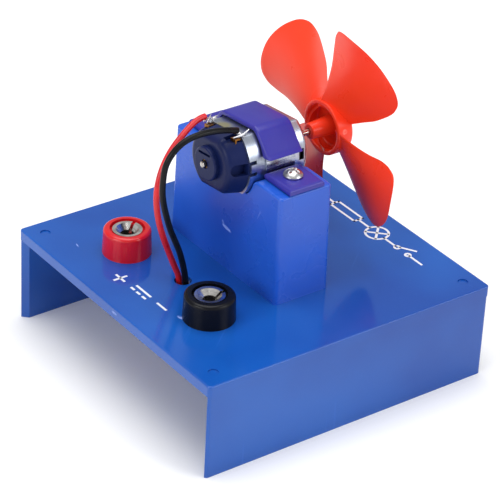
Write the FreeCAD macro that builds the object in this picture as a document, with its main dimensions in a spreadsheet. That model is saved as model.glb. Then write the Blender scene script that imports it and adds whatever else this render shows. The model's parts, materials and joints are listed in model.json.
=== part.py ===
import FreeCAD, Part
import math
import os

import Sketcher
from FreeCAD import Placement, Rotation, Vector

# A small open-frame electric motor with a fan, clamped in a block on a stand with two 4 mm sockets.
# X runs along the front edge, Y along the motor shaft towards the fan, Z up, origin under the centre.

doc = FreeCAD.newDocument("demonstration_motor")
sheet = doc.addObject("Spreadsheet::Sheet", "Sizes")


class Size:
    """A length or an angle that carries its number and its formula over the sheet."""

    def __init__(self, number, formula):
        self.number = float(number)
        self.formula = formula

    def __add__(self, other):
        other = as_size(other)
        return Size(self.number + other.number, f"({self.formula} + {other.formula})")

    def __sub__(self, other):
        other = as_size(other)
        return Size(self.number - other.number, f"({self.formula} - {other.formula})")

    def __mul__(self, other):
        other = as_size(other)
        return Size(self.number * other.number, f"({self.formula} * {other.formula})")

    def __truediv__(self, other):
        other = as_size(other)
        return Size(self.number / other.number, f"({self.formula} / {other.formula})")

    def __neg__(self):
        return Size(-self.number, f"(-{self.formula})")


def as_size(value):
    if isinstance(value, Size):
        return value
    return Size(value, repr(float(value)))


sheet_rows = []


def size(alias, number):
    """Write one driving dimension into the sheet under its alias."""
    sheet_rows.append(alias)
    row = len(sheet_rows)
    sheet.set(f"A{row}", alias)
    sheet.set(f"B{row}", str(number))
    sheet.setAlias(f"B{row}", alias)
    return Size(number, f"Sizes.{alias}")


# General clearances
fit_gap = size("fit_gap", 0.02)
running_gap = size("running_gap", 0.03)
seat_gap = size("seat_gap", 0.1)
free_gap = size("free_gap", 0.3)
overrun = size("overrun", 2)

# Stand
base_width = size("base_width", 100)
base_depth = size("base_depth", 101)
base_height = size("base_height", 31)
plate_thickness = size("plate_thickness", 3.5)
leg_thickness = size("leg_thickness", 2.5)
plate_lip = size("plate_lip", 0.25)
leg_chamfer = size("leg_chamfer", 1.9)
base_corner_round = size("base_corner_round", 1.2)
base_edge_round = size("base_edge_round", 0.5)
dimple_radius = size("dimple_radius", 1.6)
dimple_depth = size("dimple_depth", 0.4)
dimple_side_inset = size("dimple_side_inset", 6)
dimple_front_inset = size("dimple_front_inset", 5.5)

# Motor tower
tower_width = size("tower_width", 53.4)
tower_depth = size("tower_depth", 19.3)
tower_height = size("tower_height", 35)
tower_side_offset = size("tower_side_offset", 1.2)
tower_back_offset = size("tower_back_offset", 0.85)
tower_draft = size("tower_draft", 0.8)
tower_wall = size("tower_wall", 2.4)
tower_edge_round = size("tower_edge_round", 1.3)
tower_rim_round = size("tower_rim_round", 0.7)
notch_round = size("notch_round", 2.6)
axis_over_tower = size("axis_over_tower", 2.4)

# Motor can and the roll at which the motor sits in its notch
motor_roll = size("motor_roll", 6.5)
can_radius = size("can_radius", 11.8)
can_half_flat = size("can_half_flat", 9.1)
can_wall = size("can_wall", 0.7)
can_front = size("can_front", 11.3)
can_back = size("can_back", 9.2)
can_end_round = size("can_end_round", 1.2)
can_corner_round = size("can_corner_round", 1.5)
rear_boss_radius = size("rear_boss_radius", 3.7)
rear_boss_length = size("rear_boss_length", 1.7)
vent_width = size("vent_width", 3.4)
vent_length = size("vent_length", 1.8)
vent_inset = size("vent_inset", 0.2)
crimp_width = size("crimp_width", 4.6)
crimp_depth = size("crimp_depth", 2.4)
crimp_tongue_width = size("crimp_tongue_width", 2.4)
crimp_tongue_inset = size("crimp_tongue_inset", 0.5)

# End cap
cap_radius = size("cap_radius", 11.1)
cap_half_flat = size("cap_half_flat", 8.9)
cap_length = size("cap_length", 6.1)
cap_side_taper = size("cap_side_taper", 1.65)
cap_flat_taper = size("cap_flat_taper", 0.5)
cap_corner_round = size("cap_corner_round", 1.8)
cap_round = size("cap_round", 2.1)
cap_wall = size("cap_wall", 1.2)
cap_hollow_radius = size("cap_hollow_radius", 8.2)
cap_hollow_half = size("cap_hollow_half", 5.9)
cap_spigot_length = size("cap_spigot_length", 2.4)
cap_boss_radius = size("cap_boss_radius", 5.2)
cap_boss_length = size("cap_boss_length", 1.6)
cap_boss_round = size("cap_boss_round", 0.5)
cap_slot_length = size("cap_slot_length", 5.6)
cap_slot_width = size("cap_slot_width", 0.8)
cap_slot_depth = size("cap_slot_depth", 0.7)
cap_slot_height = size("cap_slot_height", 3.2)
groove_width = size("groove_width", 3.6)
groove_depth = size("groove_depth", 2.6)
groove_length = size("groove_length", 5.3)
tab_recess_width = size("tab_recess_width", 4.6)
tab_recess_depth = size("tab_recess_depth", 1.3)
tab_recess_length = size("tab_recess_length", 3.9)

# Shaft, bushes and rotor pieces inside the motor
shaft_radius = size("shaft_radius", 1.0)
shaft_nose = size("shaft_nose", 1.0)
shaft_chamfer = size("shaft_chamfer", 0.2)
bush_radius = size("bush_radius", 2.6)
bush_length = size("bush_length", 2.2)
bush_hidden_depth = size("bush_hidden_depth", 0.5)
nose_hole_radius = size("nose_hole_radius", 1.45)
washer_outer_radius = size("washer_outer_radius", 1.9)
washer_length = size("washer_length", 0.8)
commutator_radius = size("commutator_radius", 2.4)
commutator_length = size("commutator_length", 4.2)
commutator_sleeve_radius = size("commutator_sleeve_radius", 1.7)
commutator_slit = size("commutator_slit", 0.5)
core_radius = size("core_radius", 7.6)
core_length = size("core_length", 10.2)
core_back_offset = size("core_back_offset", 5.4)
core_hub_radius = size("core_hub_radius", 2.6)
pole_stem_width = size("pole_stem_width", 2.2)
pole_shoe_thickness = size("pole_shoe_thickness", 1.5)
pole_opening = size("pole_opening", 2.0)
coil_thickness = size("coil_thickness", 1.5)
coil_overhang = size("coil_overhang", 1.6)
magnet_thickness = size("magnet_thickness", 2.6)
magnet_length = size("magnet_length", 14)
magnet_back_gap = size("magnet_back_gap", 1.6)
magnet_half_height = size("magnet_half_height", 6.2)
spring_thickness = size("spring_thickness", 0.5)
spring_width = size("spring_width", 6)
spring_leaf_height = size("spring_leaf_height", 2.2)

# Terminal tabs, brush arms and tinned ends
tab_offset = size("tab_offset", 6.5)
tab_width = size("tab_width", 2.4)
tab_thickness = size("tab_thickness", 0.4)
tab_setback = size("tab_setback", 4)
tab_drop = size("tab_drop", 0.6)
tab_reach = size("tab_reach", 1.8)
tab_root = size("tab_root", 2.0)
tab_hole_radius = size("tab_hole_radius", 0.6)
tab_hole_inset = size("tab_hole_inset", 0.8)
brush_thickness = size("brush_thickness", 0.25)
brush_width = size("brush_width", 2.2)
brush_drop = size("brush_drop", 3.4)
strand_diameter = size("strand_diameter", 1.0)
black_strand_reach = size("black_strand_reach", 0.1)
black_strand_rise = size("black_strand_rise", 1.2)
red_strand_reach = size("red_strand_reach", 1.7)
red_strand_rise = size("red_strand_rise", 2.2)
joint_radius = size("joint_radius", 0.9)
joint_height = size("joint_height", 0.9)

# Strap, hood and feet of the clamp
strap_thickness = size("strap_thickness", 0.4)
strap_inset = size("strap_inset", 1.0)
clamp_width = size("clamp_width", 12.1)
clamp_back_offset = size("clamp_back_offset", 0.85)
hood_top_half = size("hood_top_half", 8.8)
hood_lip_half = size("hood_lip_half", 14.8)
hood_lip_level = size("hood_lip_level", 2.7)
hood_top_thickness = size("hood_top_thickness", 1.3)
hood_round = size("hood_round", 2.5)
hood_edge_round = size("hood_edge_round", 1.1)
foot_strap_gap = size("foot_strap_gap", 0.4)
foot_side_inset = size("foot_side_inset", 0.3)
foot_thickness = size("foot_thickness", 1.7)
foot_round = size("foot_round", 1.0)

# Screws
screw_side_inset = size("screw_side_inset", 7.2)
screw_back_offset = size("screw_back_offset", 0.9)
screw_shank_radius = size("screw_shank_radius", 1.5)
screw_head_radius = size("screw_head_radius", 2.95)
screw_head_height = size("screw_head_height", 2.2)
screw_rim_height = size("screw_rim_height", 0.6)
screw_slot_width = size("screw_slot_width", 0.7)
screw_slot_depth = size("screw_slot_depth", 0.9)
clamp_screw_length = size("clamp_screw_length", 9)
tower_screw_length = size("tower_screw_length", 11)
post_radius = size("post_radius", 3.6)

# Fan
fan_radius = size("fan_radius", 34.7)
fan_phase = size("fan_phase", 62.2)
fan_gap_to_can = size("fan_gap_to_can", 9.1)
fan_tube_radius = size("fan_tube_radius", 2.4)
fan_tube_root_radius = size("fan_tube_root_radius", 3.1)
fan_tube_stick_out = size("fan_tube_stick_out", 4.7)
hub_radius = size("hub_radius", 8.6)
hub_wall = size("hub_wall", 1.4)
hub_length = size("hub_length", 5.6)
hub_end_thickness = size("hub_end_thickness", 1.5)
hub_end_round = size("hub_end_round", 1.2)
blade_setback = size("blade_setback", 1.6)
blade_lean = size("blade_lean", 0.8)
blade_thickness = size("blade_thickness", 1.3)
blade_half_span = size("blade_half_span", 18)
blade_root_pitch = size("blade_root_pitch", 22)
blade_mid_pitch = size("blade_mid_pitch", 8)
blade_tip_pitch = size("blade_tip_pitch", 14)
blade_root_curve = size("blade_root_curve", 18)
blade_tip_curve = size("blade_tip_curve", 65)

# Sockets
black_socket_x = size("black_socket_x", 20.2)
red_socket_x = size("red_socket_x", -22.5)
socket_front_inset = size("socket_front_inset", 20.6)
black_slit_turn = size("black_slit_turn", -10)
red_slit_turn = size("red_slit_turn", 29)
collar_base_radius = size("collar_base_radius", 7.8)
red_collar_base_radius = size("red_collar_base_radius", 7.45)
collar_draft = size("collar_draft", 0.3)
collar_height = size("collar_height", 8)
collar_round = size("collar_round", 1.1)
collar_recess_radius = size("collar_recess_radius", 5.3)
collar_recess_depth = size("collar_recess_depth", 1.3)
sleeve_head_radius = size("sleeve_head_radius", 4.5)
sleeve_head_height = size("sleeve_head_height", 4.2)
sleeve_below_rim = size("sleeve_below_rim", 0.4)
sleeve_shank_radius = size("sleeve_shank_radius", 3)
sleeve_shank_below = size("sleeve_shank_below", 7)
bore_radius = size("bore_radius", 2.0)
bore_floor = size("bore_floor", 1.5)
mouth_chamfer = size("mouth_chamfer", 1.5)
sleeve_slot_width = size("sleeve_slot_width", 1.0)
sleeve_slot_depth = size("sleeve_slot_depth", 2.6)
ring_radius = size("ring_radius", 5.6)
ring_thickness = size("ring_thickness", 1.0)
nut_across_flats = size("nut_across_flats", 10)
nut_thickness = size("nut_thickness", 3)
lug_thickness = size("lug_thickness", 0.6)
lug_ring_radius = size("lug_ring_radius", 5)
lug_tail_width = size("lug_tail_width", 3.2)
lug_tail_reach = size("lug_tail_reach", 6.2)
lug_tail_drop = size("lug_tail_drop", 6)

# Leads
lead_diameter = size("lead_diameter", 1.85)
lead_hole_radius = size("lead_hole_radius", 2.6)
lead_hole_forward = size("lead_hole_forward", 25.1)
lug_joint_radius = size("lug_joint_radius", 1.15)
lug_joint_length = size("lug_joint_length", 2.6)
lug_joint_lift = size("lug_joint_lift", 1.7)

doc.recompute()

# Levels that several pieces share
zero = as_size(0)
socket_mirror = (black_socket_x + red_socket_x) / 2
plate_underside = base_height - plate_thickness
tower_top = base_height + tower_height
axis_height = tower_top + axis_over_tower
axis_in_tower = tower_height + axis_over_tower
cap_front = can_front + cap_length
strap_inner_radius = can_radius + seat_gap
strap_outer_radius = strap_inner_radius + strap_thickness
strap_inner_flat = can_half_flat + seat_gap
strap_outer_flat = strap_inner_flat + strap_thickness
foot_level = tower_top + strap_thickness
foot_inner = strap_outer_radius + foot_strap_gap
tower_left = tower_width / 2 + tower_side_offset
tower_right = tower_width / 2 - tower_side_offset
foot_outer = tower_right - foot_side_inset
screw_offset = tower_right - screw_side_inset
socket_forward = base_depth / 2 - socket_front_inset
foot_top = foot_level + foot_thickness
lug_top = plate_underside - ring_thickness
nut_top = lug_top - lug_thickness
rim_start = can_back + fan_gap_to_can + fan_tube_stick_out


# Ways of drawing

def new_body(label):
    body = doc.addObject("PartDesign::Body", label)
    body.Label = label
    return body


def new_sketch(body, role, lift=zero, across=zero, up=zero, turn=0.0):
    """A sketch on one of the body's origin planes, lifted along its normal, moved and turned in it."""
    sketch = body.newObject("Sketcher::SketchObject", body.Label + "_sketch")
    plane = next(f for f in body.Origin.OriginFeatures if f.Role == role)
    sketch.AttachmentSupport = [(plane, "")]
    sketch.MapMode = "FlatFace"
    place = Vector(across.number, up.number, lift.number)
    sketch.AttachmentOffset = Placement(place, Rotation(Vector(0, 0, 1), turn))
    for axis, value in (("x", across), ("y", up), ("z", lift)):
        if value is not zero:
            sketch.setExpression(f"AttachmentOffset.Base.{axis}", value.formula)
    return sketch


def pin(sketch, geometry, vertex, x, y):
    """Hold one point of the sketch at named distances from its origin."""
    for kind, value in (("DistanceX", as_size(x)), ("DistanceY", as_size(y))):
        index = sketch.addConstraint(Sketcher.Constraint(kind, -1, 1, geometry, vertex, value.number))
        if "Sizes" in value.formula:
            sketch.setExpression(f"Constraints[{index}]", value.formula)


def polygon(sketch, points):
    first = sketch.GeometryCount
    corners = [Vector(as_size(x).number, as_size(y).number, 0) for x, y in points]
    count = len(corners)
    for number, corner in enumerate(corners):
        sketch.addGeometry(Part.LineSegment(corner, corners[(number + 1) % count]), False)
    for number in range(count):
        after = first + (number + 1) % count
        sketch.addConstraint(Sketcher.Constraint("Coincident", first + number, 2, after, 1))
    for number, (x, y) in enumerate(points):
        pin(sketch, first + number, 1, x, y)


def rectangle(sketch, left, right, bottom, top):
    polygon(sketch, [(left, bottom), (right, bottom), (right, top), (left, top)])


def rounded_rectangle(sketch, across, up, radius):
    """A rectangle about the sketch's origin with four round corners, tangent to its sides."""
    half_x, half_y, soft = across.number / 2, up.number / 2, radius.number
    lines = []
    arcs = []
    for turn in range(4):
        quarter = math.pi / 2 * turn
        wide, high = (half_x, half_y) if turn % 2 == 0 else (half_y, half_x)
        spin = Rotation(Vector(0, 0, 1), math.degrees(quarter))
        start = spin.multVec(Vector(-wide + soft, -high, 0))
        end = spin.multVec(Vector(wide - soft, -high, 0))
        centre = spin.multVec(Vector(wide - soft, -high + soft, 0))
        lines.append(sketch.addGeometry(Part.LineSegment(start, end), False))
        ring = Part.Circle(centre, Vector(0, 0, 1), soft)
        arcs.append(sketch.addGeometry(Part.ArcOfCircle(ring, quarter - math.pi / 2, quarter), False))
    for turn in range(4):
        sketch.addConstraint(Sketcher.Constraint("Tangent", lines[turn], 2, arcs[turn], 1))
        sketch.addConstraint(Sketcher.Constraint("Tangent", arcs[turn], 2, lines[(turn + 1) % 4], 1))
        sketch.addConstraint(Sketcher.Constraint("Vertical" if turn % 2 else "Horizontal", lines[turn]))
        bound = sketch.addConstraint(Sketcher.Constraint("Radius", arcs[turn], soft))
        sketch.setExpression(f"Constraints[{bound}]", radius.formula)
        kind, side = ("DistanceX", across / 2) if turn % 2 else ("DistanceY", up / 2)
        level = side if turn in (1, 2) else -side
        bound = sketch.addConstraint(Sketcher.Constraint(kind, -1, 1, lines[turn], 1, level.number))
        sketch.setExpression(f"Constraints[{bound}]", level.formula)


def circle(sketch, x, y, radius):
    centre = Vector(as_size(x).number, as_size(y).number, 0)
    index = sketch.addGeometry(Part.Circle(centre, Vector(0, 0, 1), radius.number), False)
    pin(sketch, index, 3, x, y)
    bound = sketch.addConstraint(Sketcher.Constraint("Radius", index, radius.number))
    sketch.setExpression(f"Constraints[{bound}]", radius.formula)


def flat_round(sketch, radius, half_flat):
    """The outline of the motor: a circle cut by two flats above and below its centre."""
    lean = math.asin(half_flat.number / radius.number)
    ring = Part.Circle(Vector(0, 0, 0), Vector(0, 0, 1), radius.number)
    right = sketch.addGeometry(Part.ArcOfCircle(ring, -lean, lean), False)
    left = sketch.addGeometry(Part.ArcOfCircle(ring, math.pi - lean, math.pi + lean), False)
    reach = radius.number * math.cos(lean)
    rise = half_flat.number
    top = sketch.addGeometry(Part.LineSegment(Vector(reach, rise, 0), Vector(-reach, rise, 0)), False)
    foot = sketch.addGeometry(Part.LineSegment(Vector(-reach, -rise, 0), Vector(reach, -rise, 0)), False)
    for arc in (right, left):
        sketch.addConstraint(Sketcher.Constraint("Coincident", arc, 3, -1, 1))
        bound = sketch.addConstraint(Sketcher.Constraint("Radius", arc, radius.number))
        sketch.setExpression(f"Constraints[{bound}]", radius.formula)
    outline = [right, top, left, foot]
    for one, after in zip(outline, outline[1:] + outline[:1]):
        sketch.addConstraint(Sketcher.Constraint("Coincident", one, 2, after, 1))
    for line, level in ((top, half_flat), (foot, -half_flat)):
        sketch.addConstraint(Sketcher.Constraint("Horizontal", line))
        bound = sketch.addConstraint(Sketcher.Constraint("DistanceY", -1, 1, line, 1, level.number))
        sketch.setExpression(f"Constraints[{bound}]", level.formula)


def pad(body, sketch, length, reverse=False, middle=False, taper=None):
    feature = body.newObject("PartDesign::Pad", body.Label + "_pad")
    feature.Profile = sketch
    feature.Length = length.number
    feature.setExpression("Length", length.formula)
    feature.Reversed = reverse
    feature.Midplane = middle
    if taper:
        feature.TaperAngle = taper.number
        feature.setExpression("TaperAngle", taper.formula)
    doc.recompute()
    return feature


def pocket(body, sketch, depth, reverse=False, middle=False):
    before = body.Tip.Shape.Volume
    feature = body.newObject("PartDesign::Pocket", body.Label + "_pocket")
    feature.Profile = sketch
    feature.Length = depth.number
    feature.setExpression("Length", depth.formula)
    feature.Reversed = reverse
    feature.Midplane = middle
    doc.recompute()
    if not feature.Shape.Volume < before:
        raise RuntimeError(f"{feature.Label} cuts nothing")
    if not feature.Shape.isValid():
        raise RuntimeError(f"{feature.Label} is not valid")
    return feature


def revolve(body, points, role="XZ_Plane", about="V_Axis"):
    """A turned solid: the points are radius and height, or place and radius along the motor's axis."""
    sketch = new_sketch(body, role)
    polygon(sketch, points)
    doc.recompute()
    feature = body.newObject("PartDesign::Revolution", body.Label + "_turned")
    feature.Profile = sketch
    feature.ReferenceAxis = (sketch, [about])
    feature.Angle = 360.0
    doc.recompute()
    return feature


def turned_along_shaft(body, points):
    return revolve(body, points, "YZ_Plane", "H_Axis")


def ring_along_shaft(label, inner, outer, start, end):
    body = new_body(label)
    turned_along_shaft(body, [(start, inner), (end, inner), (end, outer), (start, outer)])
    return body


STRAIGHT_SHARE = 0.95


def edges_where(shape, test):
    return [f"Edge{number}" for number, edge in enumerate(shape.Edges, 1) if test(edge)]


def along(edge, axis):
    """True for a straight edge that runs along one axis, but for a small draft."""
    if len(edge.Vertexes) < 2:
        return False
    run = edge.Vertexes[1].Point - edge.Vertexes[0].Point
    return abs(run[axis]) > STRAIGHT_SHARE * edge.Length


def lies_along_shaft(edge):
    return along(edge, 1)


def middle_of(edge):
    return edge.valueAt((edge.FirstParameter + edge.LastParameter) / 2)


def dress(body, kind, test, amount):
    """Round or chamfer the edges of the body's last feature that pass the test."""
    names = edges_where(body.Tip.Shape, test)
    if not names:
        raise RuntimeError(f"{body.Label} has no such edge")
    feature = body.newObject("PartDesign::" + kind, body.Label + "_" + kind.lower())
    feature.Base = (body.Tip if body.Tip != feature else feature.BaseFeature, names)
    width = "Radius" if kind == "Fillet" else "Size"
    setattr(feature, width, amount.number)
    feature.setExpression(width, amount.formula)
    doc.recompute()
    if feature.Shape.isNull() or not feature.Shape.isValid():
        raise RuntimeError(f"{feature.Label} is not valid")
    return feature


def place(piece, x=zero, y=zero, z=zero, roll=0.0, turn=0.0):
    """Set a piece down in the model's frame, rolled about the shaft's direction and turned about Z."""
    where = Vector(x.number, y.number, z.number)
    facing = Rotation(Vector(0, 0, 1), turn) * Rotation(Vector(0, -1, 0), roll)
    piece.Placement = Placement(where, facing)
    for axis, value in (("x", x), ("y", y), ("z", z)):
        if value is not zero:
            piece.setExpression(f"Placement.Base.{axis}", value.formula)


def place_in_motor(piece):
    place(piece, z=axis_height, roll=motor_roll.number)


def mirrored_pair(label, source, about=zero):
    """The source and its twin on the other side of a plane across X, as two solids of one node."""
    twin = doc.addObject("Part::Mirroring", label + "_twin")
    twin.Source = source
    twin.Normal = Vector(1, 0, 0)
    twin.Base = Vector(about.number, 0, 0)
    if about is not zero:
        twin.setExpression("Base.x", about.formula)
    pair = doc.addObject("Part::Compound", label)
    pair.Label = label
    pair.Links = [source, twin]
    doc.recompute()
    return pair


nodes = {}


def keep(piece, label=None):
    nodes[label or piece.Label] = piece
    return piece


# Stand

def base_stand():
    body = new_body("base_stand")
    half = base_width / 2
    half_depth = base_depth / 2
    leg_inside = half - plate_lip - leg_thickness
    legs = new_sketch(body, "XY_Plane")
    rounded_rectangle(legs, base_width - plate_lip * 2, base_depth, base_corner_round)
    pad(body, legs, plate_underside + plate_thickness / 2)
    plate = new_sketch(body, "XY_Plane", lift=plate_underside)
    rounded_rectangle(plate, base_width, base_depth, base_corner_round)
    pad(body, plate, plate_thickness)

    def plate_rim(edge):
        return abs(middle_of(edge).z - base_height.number) < fit_gap.number

    dress(body, "Fillet", plate_rim, base_edge_round)
    opening = new_sketch(body, "XY_Plane")
    flare = leg_inside + leg_chamfer
    flare_start = half_depth - leg_chamfer
    beyond = half_depth + overrun
    polygon(opening, [
        (leg_inside, -flare_start), (leg_inside, flare_start), (flare, half_depth), (flare, beyond),
        (-flare, beyond), (-flare, half_depth), (-leg_inside, flare_start), (-leg_inside, -flare_start),
        (-flare, -half_depth), (-flare, -beyond), (flare, -beyond), (flare, -half_depth)])
    pocket(body, opening, plate_underside, reverse=True)
    holes = new_sketch(body, "XY_Plane", lift=base_height)
    circle(holes, zero, -lead_hole_forward, lead_hole_radius)
    for x in (red_socket_x, black_socket_x):
        circle(holes, x, -socket_forward, sleeve_shank_radius + seat_gap)
    for side in (-1, 1):
        circle(holes, screw_offset * side, -screw_back_offset, screw_shank_radius + seat_gap)
    pocket(body, holes, plate_thickness + overrun)
    dimples = new_sketch(body, "XY_Plane", lift=base_height)
    dimple_x = half - dimple_side_inset
    dimple_y = base_depth / 2 - dimple_front_inset
    for side in (-1, 1):
        for end in (-1, 1):
            circle(dimples, dimple_x * side, dimple_y * end, dimple_radius)
    pocket(body, dimples, dimple_depth)
    keep(body)


# Tower: a drafted hollow block with two screw posts and a notch that takes the motor

def motor_tower():
    body = new_body("motor_tower")
    deep = tower_depth / 2
    foot = new_sketch(body, "XY_Plane")
    rectangle(foot, -tower_left, tower_right, -deep, deep)
    pad(body, foot, tower_height, taper=-tower_draft)
    upright_reach = tower_right.number - 2 * tower_height.number * math.sin(math.radians(tower_draft.number))

    def upright(edge):
        spot = middle_of(edge)
        return along(edge, 2) and abs(spot.x) > upright_reach

    dress(body, "Fillet", upright, tower_edge_round)
    notch = new_sketch(body, "XZ_Plane", up=axis_in_tower, turn=motor_roll.number)
    flat_round(notch, can_radius + seat_gap, can_half_flat + seat_gap)
    pocket(body, notch, tower_depth + overrun, middle=True)

    def at_top(spot):
        return spot.z > (tower_height - fit_gap).number

    def notch_lip(edge):
        spot = middle_of(edge)
        return along(edge, 1) and at_top(spot) and abs(spot.x) < foot_inner.number

    def rim(edge):
        spot = middle_of(edge)
        return at_top(spot) and abs(spot.x) > foot_inner.number

    dress(body, "Fillet", notch_lip, notch_round)
    dress(body, "Fillet", rim, tower_rim_round)
    post_y = tower_back_offset - screw_back_offset
    cavity = new_sketch(body, "XY_Plane")
    inside_deep = deep - tower_wall
    rectangle(cavity, -tower_left + tower_wall, tower_right - tower_wall, -inside_deep, inside_deep)
    for side in (-1, 1):
        circle(cavity, screw_offset * side, post_y, post_radius)
    notch_floor = axis_in_tower - can_half_flat - seat_gap
    drop = can_radius * math.sin(math.radians(motor_roll.number))
    pocket(body, cavity, notch_floor - tower_wall - drop, reverse=True)
    lower_holes = new_sketch(body, "XY_Plane")
    for side in (-1, 1):
        circle(lower_holes, screw_offset * side, post_y, screw_shank_radius + fit_gap)
    pocket(body, lower_holes, tower_screw_length - plate_thickness + overrun, reverse=True)
    upper_holes = new_sketch(body, "XY_Plane", lift=tower_height)
    for side in (-1, 1):
        circle(upper_holes, screw_offset * side, post_y, screw_shank_radius + fit_gap)
    pocket(body, upper_holes, clamp_screw_length)
    place(body, y=-tower_back_offset, z=base_height)
    keep(body)


# Motor can: drawn shell, open at the front, with a bush boss behind, two vents and two crimp tongues

def motor_can():
    body = new_body("motor_can")
    shell = new_sketch(body, "XZ_Plane", lift=can_front)
    flat_round(shell, can_radius, can_half_flat)
    pad(body, shell, can_front + can_back, reverse=True)

    def back_rim(edge):
        return abs(middle_of(edge).y - can_back.number) < fit_gap.number

    dress(body, "Fillet", lies_along_shaft, can_corner_round)
    dress(body, "Fillet", back_rim, can_end_round)
    boss = new_sketch(body, "XZ_Plane", lift=-can_back + can_wall)
    circle(boss, zero, zero, rear_boss_radius)
    pad(body, boss, rear_boss_length + can_wall, reverse=True)
    hollow = new_sketch(body, "XZ_Plane", lift=can_front)
    flat_round(hollow, can_radius - can_wall, can_half_flat - can_wall)
    pocket(body, hollow, can_front + can_back - can_wall, reverse=False)
    seat = new_sketch(body, "XZ_Plane", lift=can_front)
    circle(seat, zero, zero, bush_radius + fit_gap)
    pocket(body, seat, can_front + can_back + rear_boss_length + overrun)
    slits = new_sketch(body, "YZ_Plane")
    tongue_tip = -can_front + crimp_tongue_inset
    slit_end = -can_front + crimp_depth
    outside = -can_front - overrun
    wide = crimp_width / 2
    narrow = crimp_tongue_width / 2
    polygon(slits, [
        (outside, -wide), (slit_end, -wide), (slit_end, -narrow), (tongue_tip, -narrow),
        (tongue_tip, narrow), (slit_end, narrow), (slit_end, wide), (outside, wide)])
    pocket(body, slits, can_radius * 2 + overrun, middle=True)
    vents = new_sketch(body, "YZ_Plane")
    vent_end = can_back - can_end_round - vent_inset
    rectangle(vents, vent_end - vent_length, vent_end, -vent_width / 2, vent_width / 2)
    pocket(body, vents, can_radius * 2 + overrun, middle=True)
    place_in_motor(body)
    keep(body)


# End cap: domed moulding with a bush boss, side grooves and recesses for the terminal tabs

def end_cap():
    body = new_body("end_cap")
    turned_along_shaft(body, [
        (-can_front, zero), (-can_front, cap_radius),
        (-cap_front, cap_radius - cap_side_taper), (-cap_front, zero)])
    flats = new_sketch(body, "YZ_Plane")
    front = -cap_front - overrun
    back = -can_front + overrun
    slope = cap_flat_taper / cap_length
    high = cap_half_flat + slope * overrun
    low = cap_half_flat - cap_flat_taper - slope * overrun
    outside = cap_radius + overrun
    polygon(flats, [(front, low), (back, high), (back, outside), (front, outside)])
    polygon(flats, [(front, -low), (back, -high), (back, -outside), (front, -outside)])
    pocket(body, flats, outside * 2, middle=True)

    def long_corner(edge):
        ends = [vertex.Point.y for vertex in edge.Vertexes]
        return max(ends) - min(ends) > cap_length.number - fit_gap.number

    def front_rim(edge):
        return abs(middle_of(edge).y + cap_front.number) < fit_gap.number

    dress(body, "Fillet", long_corner, cap_corner_round)
    dress(body, "Fillet", front_rim, cap_round)
    spigot = new_sketch(body, "XZ_Plane", lift=can_front)
    flat_round(spigot, can_radius - can_wall - seat_gap, can_half_flat - can_wall - seat_gap)
    pad(body, spigot, cap_spigot_length, reverse=True)
    boss = new_sketch(body, "XZ_Plane", lift=cap_front + cap_boss_length)
    circle(boss, zero, zero, cap_boss_radius)
    pad(body, boss, cap_boss_length + cap_wall, reverse=True)

    def boss_rim(edge):
        return abs(middle_of(edge).y + cap_front.number + cap_boss_length.number) < fit_gap.number

    dress(body, "Fillet", boss_rim, cap_boss_round)
    hollow = new_sketch(body, "XZ_Plane", lift=can_front - cap_spigot_length)
    flat_round(hollow, cap_hollow_radius, cap_hollow_half)
    pocket(body, hollow, cap_spigot_length + cap_length - cap_wall, reverse=True)
    seat = new_sketch(body, "XZ_Plane", lift=can_front - cap_spigot_length)
    circle(seat, zero, zero, bush_radius + fit_gap)
    boss_end = cap_front + cap_boss_length
    seat_depth = boss_end - bush_hidden_depth - can_front + cap_spigot_length
    pocket(body, seat, seat_depth, reverse=True)
    nose = new_sketch(body, "XZ_Plane", lift=can_front - cap_spigot_length)
    circle(nose, zero, zero, nose_hole_radius)
    pocket(body, nose, seat_depth + overrun, reverse=True)
    slot = new_sketch(body, "XZ_Plane", lift=boss_end)
    half_slot = cap_slot_width / 2
    slot_end = cap_slot_length / 2
    rectangle(slot, -slot_end, slot_end, cap_slot_height - half_slot, cap_slot_height + half_slot)
    pocket(body, slot, cap_slot_depth)
    for side in (-1, 1):
        groove = new_sketch(body, "YZ_Plane", lift=(cap_radius - groove_depth) * side)
        round_end = -can_front - groove_length + groove_width / 2
        rectangle(groove, round_end, -can_front, -groove_width / 2, groove_width / 2)
        pocket(body, groove, groove_depth + overrun, reverse=side > 0)
        bowl = new_sketch(body, "YZ_Plane", lift=(cap_radius - groove_depth) * side)
        circle(bowl, round_end, zero, groove_width / 2)
        pocket(body, bowl, groove_depth + overrun, reverse=side > 0)
    recesses = new_sketch(body, "XY_Plane", lift=cap_half_flat - tab_recess_depth)
    tab_slots = new_sketch(body, "XY_Plane")
    tab_front = -cap_front + tab_setback
    slot_front = tab_front - fit_gap
    slot_back = tab_front + tab_thickness + fit_gap
    for side in (-1, 1):
        middle = tab_offset * side
        wide = tab_recess_width / 2
        rectangle(recesses, middle - wide, middle + wide, -can_front - tab_recess_length, -can_front)
        narrow = tab_width / 2 + fit_gap
        rectangle(tab_slots, middle - narrow, middle + narrow, slot_front, slot_back)
    pocket(body, recesses, tab_recess_depth + overrun, reverse=True)
    pocket(body, tab_slots, cap_half_flat, reverse=True)
    place_in_motor(body)
    keep(body)


# Bushes, shaft and washers

front_bush_start = -cap_front - cap_boss_length + bush_hidden_depth
front_bush_end = front_bush_start + bush_length
rear_bush_end = can_back + rear_boss_length
rear_bush_start = rear_bush_end - bush_length
front_washer_start = front_bush_end + free_gap
commutator_start = front_washer_start + washer_length + fit_gap
commutator_end = commutator_start + commutator_length
rear_washer_end = rear_bush_start - free_gap
core_start = can_back - core_back_offset - core_length
core_end = can_back - core_back_offset
fan_front = can_back + fan_gap_to_can
hub_back = rim_start + hub_length
shaft_front = -cap_front - cap_boss_length - shaft_nose


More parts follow.
